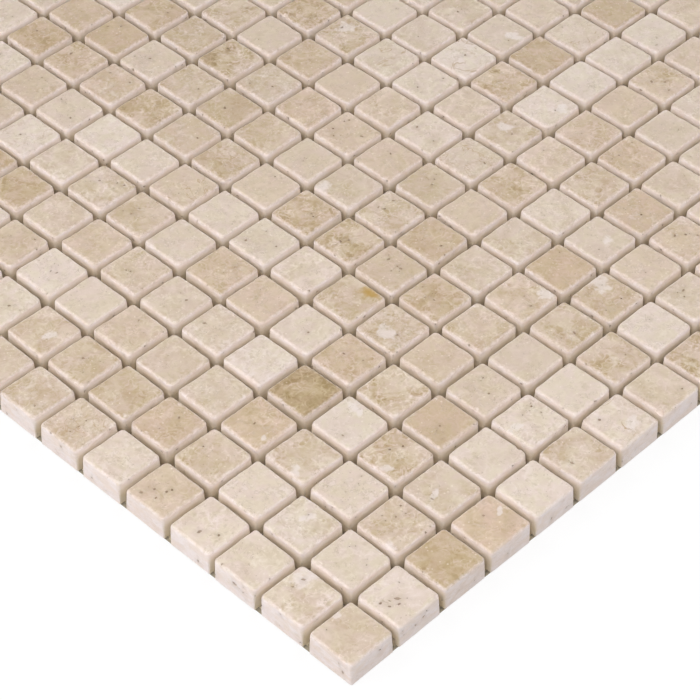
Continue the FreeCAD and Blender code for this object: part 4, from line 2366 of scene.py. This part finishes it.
@dataclass(frozen=True)
class Softbox:
    """A large square lamp.

    Attributes:
        name: Its name.
        place: Where it stands, in metres.
        size: Its side, in metres.
        level: How bright it makes a white face that looks straight at it, from the sheet's middle.
    """

    name: str
    place: tuple[float, float, float]
    size: float
    level: float

    def build(self) -> bpy.types.Object:
        """Puts the lamp in place, aimed at the sheet.

        Returns:
            The lamp.
        """
        lamp = bpy.data.lights.new(self.name, "AREA")
        lamp.shape = "SQUARE"
        lamp.size = self.size
        away = Vector(self.place)
        lamp.energy = self.level * math.pi**2 * away.length_squared
        holder = bpy.data.objects.new(self.name, lamp)
        holder.location = away
        holder.rotation_mode = "QUATERNION"
        holder.rotation_quaternion = away.to_track_quat("Z", "Y")
        holder.visible_camera = False
        bpy.context.scene.collection.objects.link(holder)
        return holder


@dataclass(frozen=True)
class PhotoCamera:
    """The camera at the photograph's place.

    Attributes:
        target: Point on the tiles' faces in the middle of the picture, in metres.
        distance: Distance from that point, in metres.
        heading: Direction of view in plan, from +X towards +Y, in degrees.
        elevation: Angle of view below the horizon, in degrees.
        roll: Turn about the line of view, clockwise, in degrees.
        lens: Focal length, in millimetres.
        picture_width: Width of the picture behind the lens, in millimetres.
        clip: Nearest and furthest distance that it shows, in metres.
    """

    target: tuple[float, float, float] = (-0.0742, -0.0746, 0.008)
    distance: float = 0.7015
    heading: float = 45.0
    elevation: float = 44.53
    roll: float = 0.36
    lens: float = 131.9
    picture_width: float = 36.0
    clip: tuple[float, float] = (0.01, 20.0)

    def build(self) -> bpy.types.Object:
        """Puts the camera in place and makes it the scene's camera.

        Returns:
            The camera.
        """
        heading, elevation = math.radians(self.heading), math.radians(self.elevation)
        level = math.cos(elevation)
        forward = Vector(
            (level * math.cos(heading), level * math.sin(heading), -math.sin(elevation))
        )
        right = forward.cross(Vector((0, 0, 1))).normalized()
        right.rotate(Matrix.Rotation(math.radians(self.roll), 3, forward))
        above = right.cross(forward)
        camera = bpy.data.cameras.new("photo_camera")
        camera.lens = self.lens
        camera.sensor_width = self.picture_width
        camera.clip_start, camera.clip_end = self.clip
        holder = bpy.data.objects.new("photo_camera", camera)
        turn = Matrix((right, above, -forward)).transposed()
        place = Vector(self.target) - forward * self.distance
        holder.matrix_world = Matrix.Translation(place) @ turn.to_4x4()
        bpy.context.scene.collection.objects.link(holder)
        bpy.context.scene.camera = holder
        return holder


@dataclass(frozen=True)
class Studio:
    """White floor, even sky and softboxes.

    Attributes:
        floor_side: Side of the floor, in metres.
        floor_gap: How far it lies under the net, so that the two don't share a plane, in metres.
        sky: How bright the even light from all round is.
        softboxes: The lamps.
    """

    floor_side: float = 8.0
    floor_gap: float = 0.02 * MM
    sky: float = 0.02
    softboxes: tuple[Softbox, ...] = (
        Softbox("front_softbox", (-0.61, -0.47, 0.63), 0.45, 0.41),
        Softbox("left_softbox", (-0.61, 0.36, 0.65), 0.65, 0.47),
        Softbox("right_softbox", (0.34, -0.63, 0.66), 0.65, 0.52),
        Softbox("side_card", (-0.88, 0.24, 0.40), 0.65, 0.22),
        Softbox("back_card", (1.5, 1.15, 0.36), 1.1, 0.38),
    )

    def build(self) -> None:
        """Builds the floor, the sky and the lamps."""
        half = self.floor_side / 2
        mesh = bpy.data.meshes.new("floor")
        corners = [(-half, -half, 0), (half, -half, 0), (half, half, 0), (-half, half, 0)]
        mesh.from_pydata(corners, [], [(0, 1, 2, 3)])
        mesh.materials.append(FloorFinish().make())
        floor = bpy.data.objects.new("floor", mesh)
        floor.location.z = -self.floor_gap
        bpy.context.scene.collection.objects.link(floor)
        for softbox in self.softboxes:
            softbox.build()
        self._sky()

    def _sky(self) -> None:
        """Even light from all round, seen as white."""
        world = bpy.data.worlds.new("even_sky")
        world.use_nodes = True
        world.node_tree.nodes.clear()
        sketch = NodeSketch(world.node_tree)
        strength = sketch.remap(seen_directly(sketch), 0.0, 1.0, self.sky, 1.0)
        light = sketch.add("ShaderNodeBackground", {"Color": WHITE, "Strength": strength})
        sketch.add("ShaderNodeOutputWorld", {"Surface": light.outputs[0]})
        bpy.context.scene.world = world


def report(piece: bpy.types.Object) -> None:
    """Logs a piece's name and number of triangles."""
    LOG.info("%s: %d triangles", piece.name, len(piece.data.polygons))


def main() -> None:
    """Builds the sheet and the studio."""
    logging.basicConfig(level=logging.INFO, format="%(name)s: %(message)s")
    bpy.context.scene.view_settings.view_transform = "Standard"
    layout = SheetLayout.from_frame()
    form = TileForm(layout.side / 2, layout.thickness)
    effects = Effects()
    travertine = TravertineFinish().make(effects)
    yarn = YarnFinish().make(effects)
    for index in range(layout.rows):
        row = TileRow(layout, form, index)
        report(row.build())
        row.dress(travertine)
    for yarns in YarnSet:
        layer = YarnLayer(yarns)
        report(layer.build())
        layer.dress(yarn)
    Studio().build()
    PhotoCamera().build()


if __name__ == "__main__":
    main()
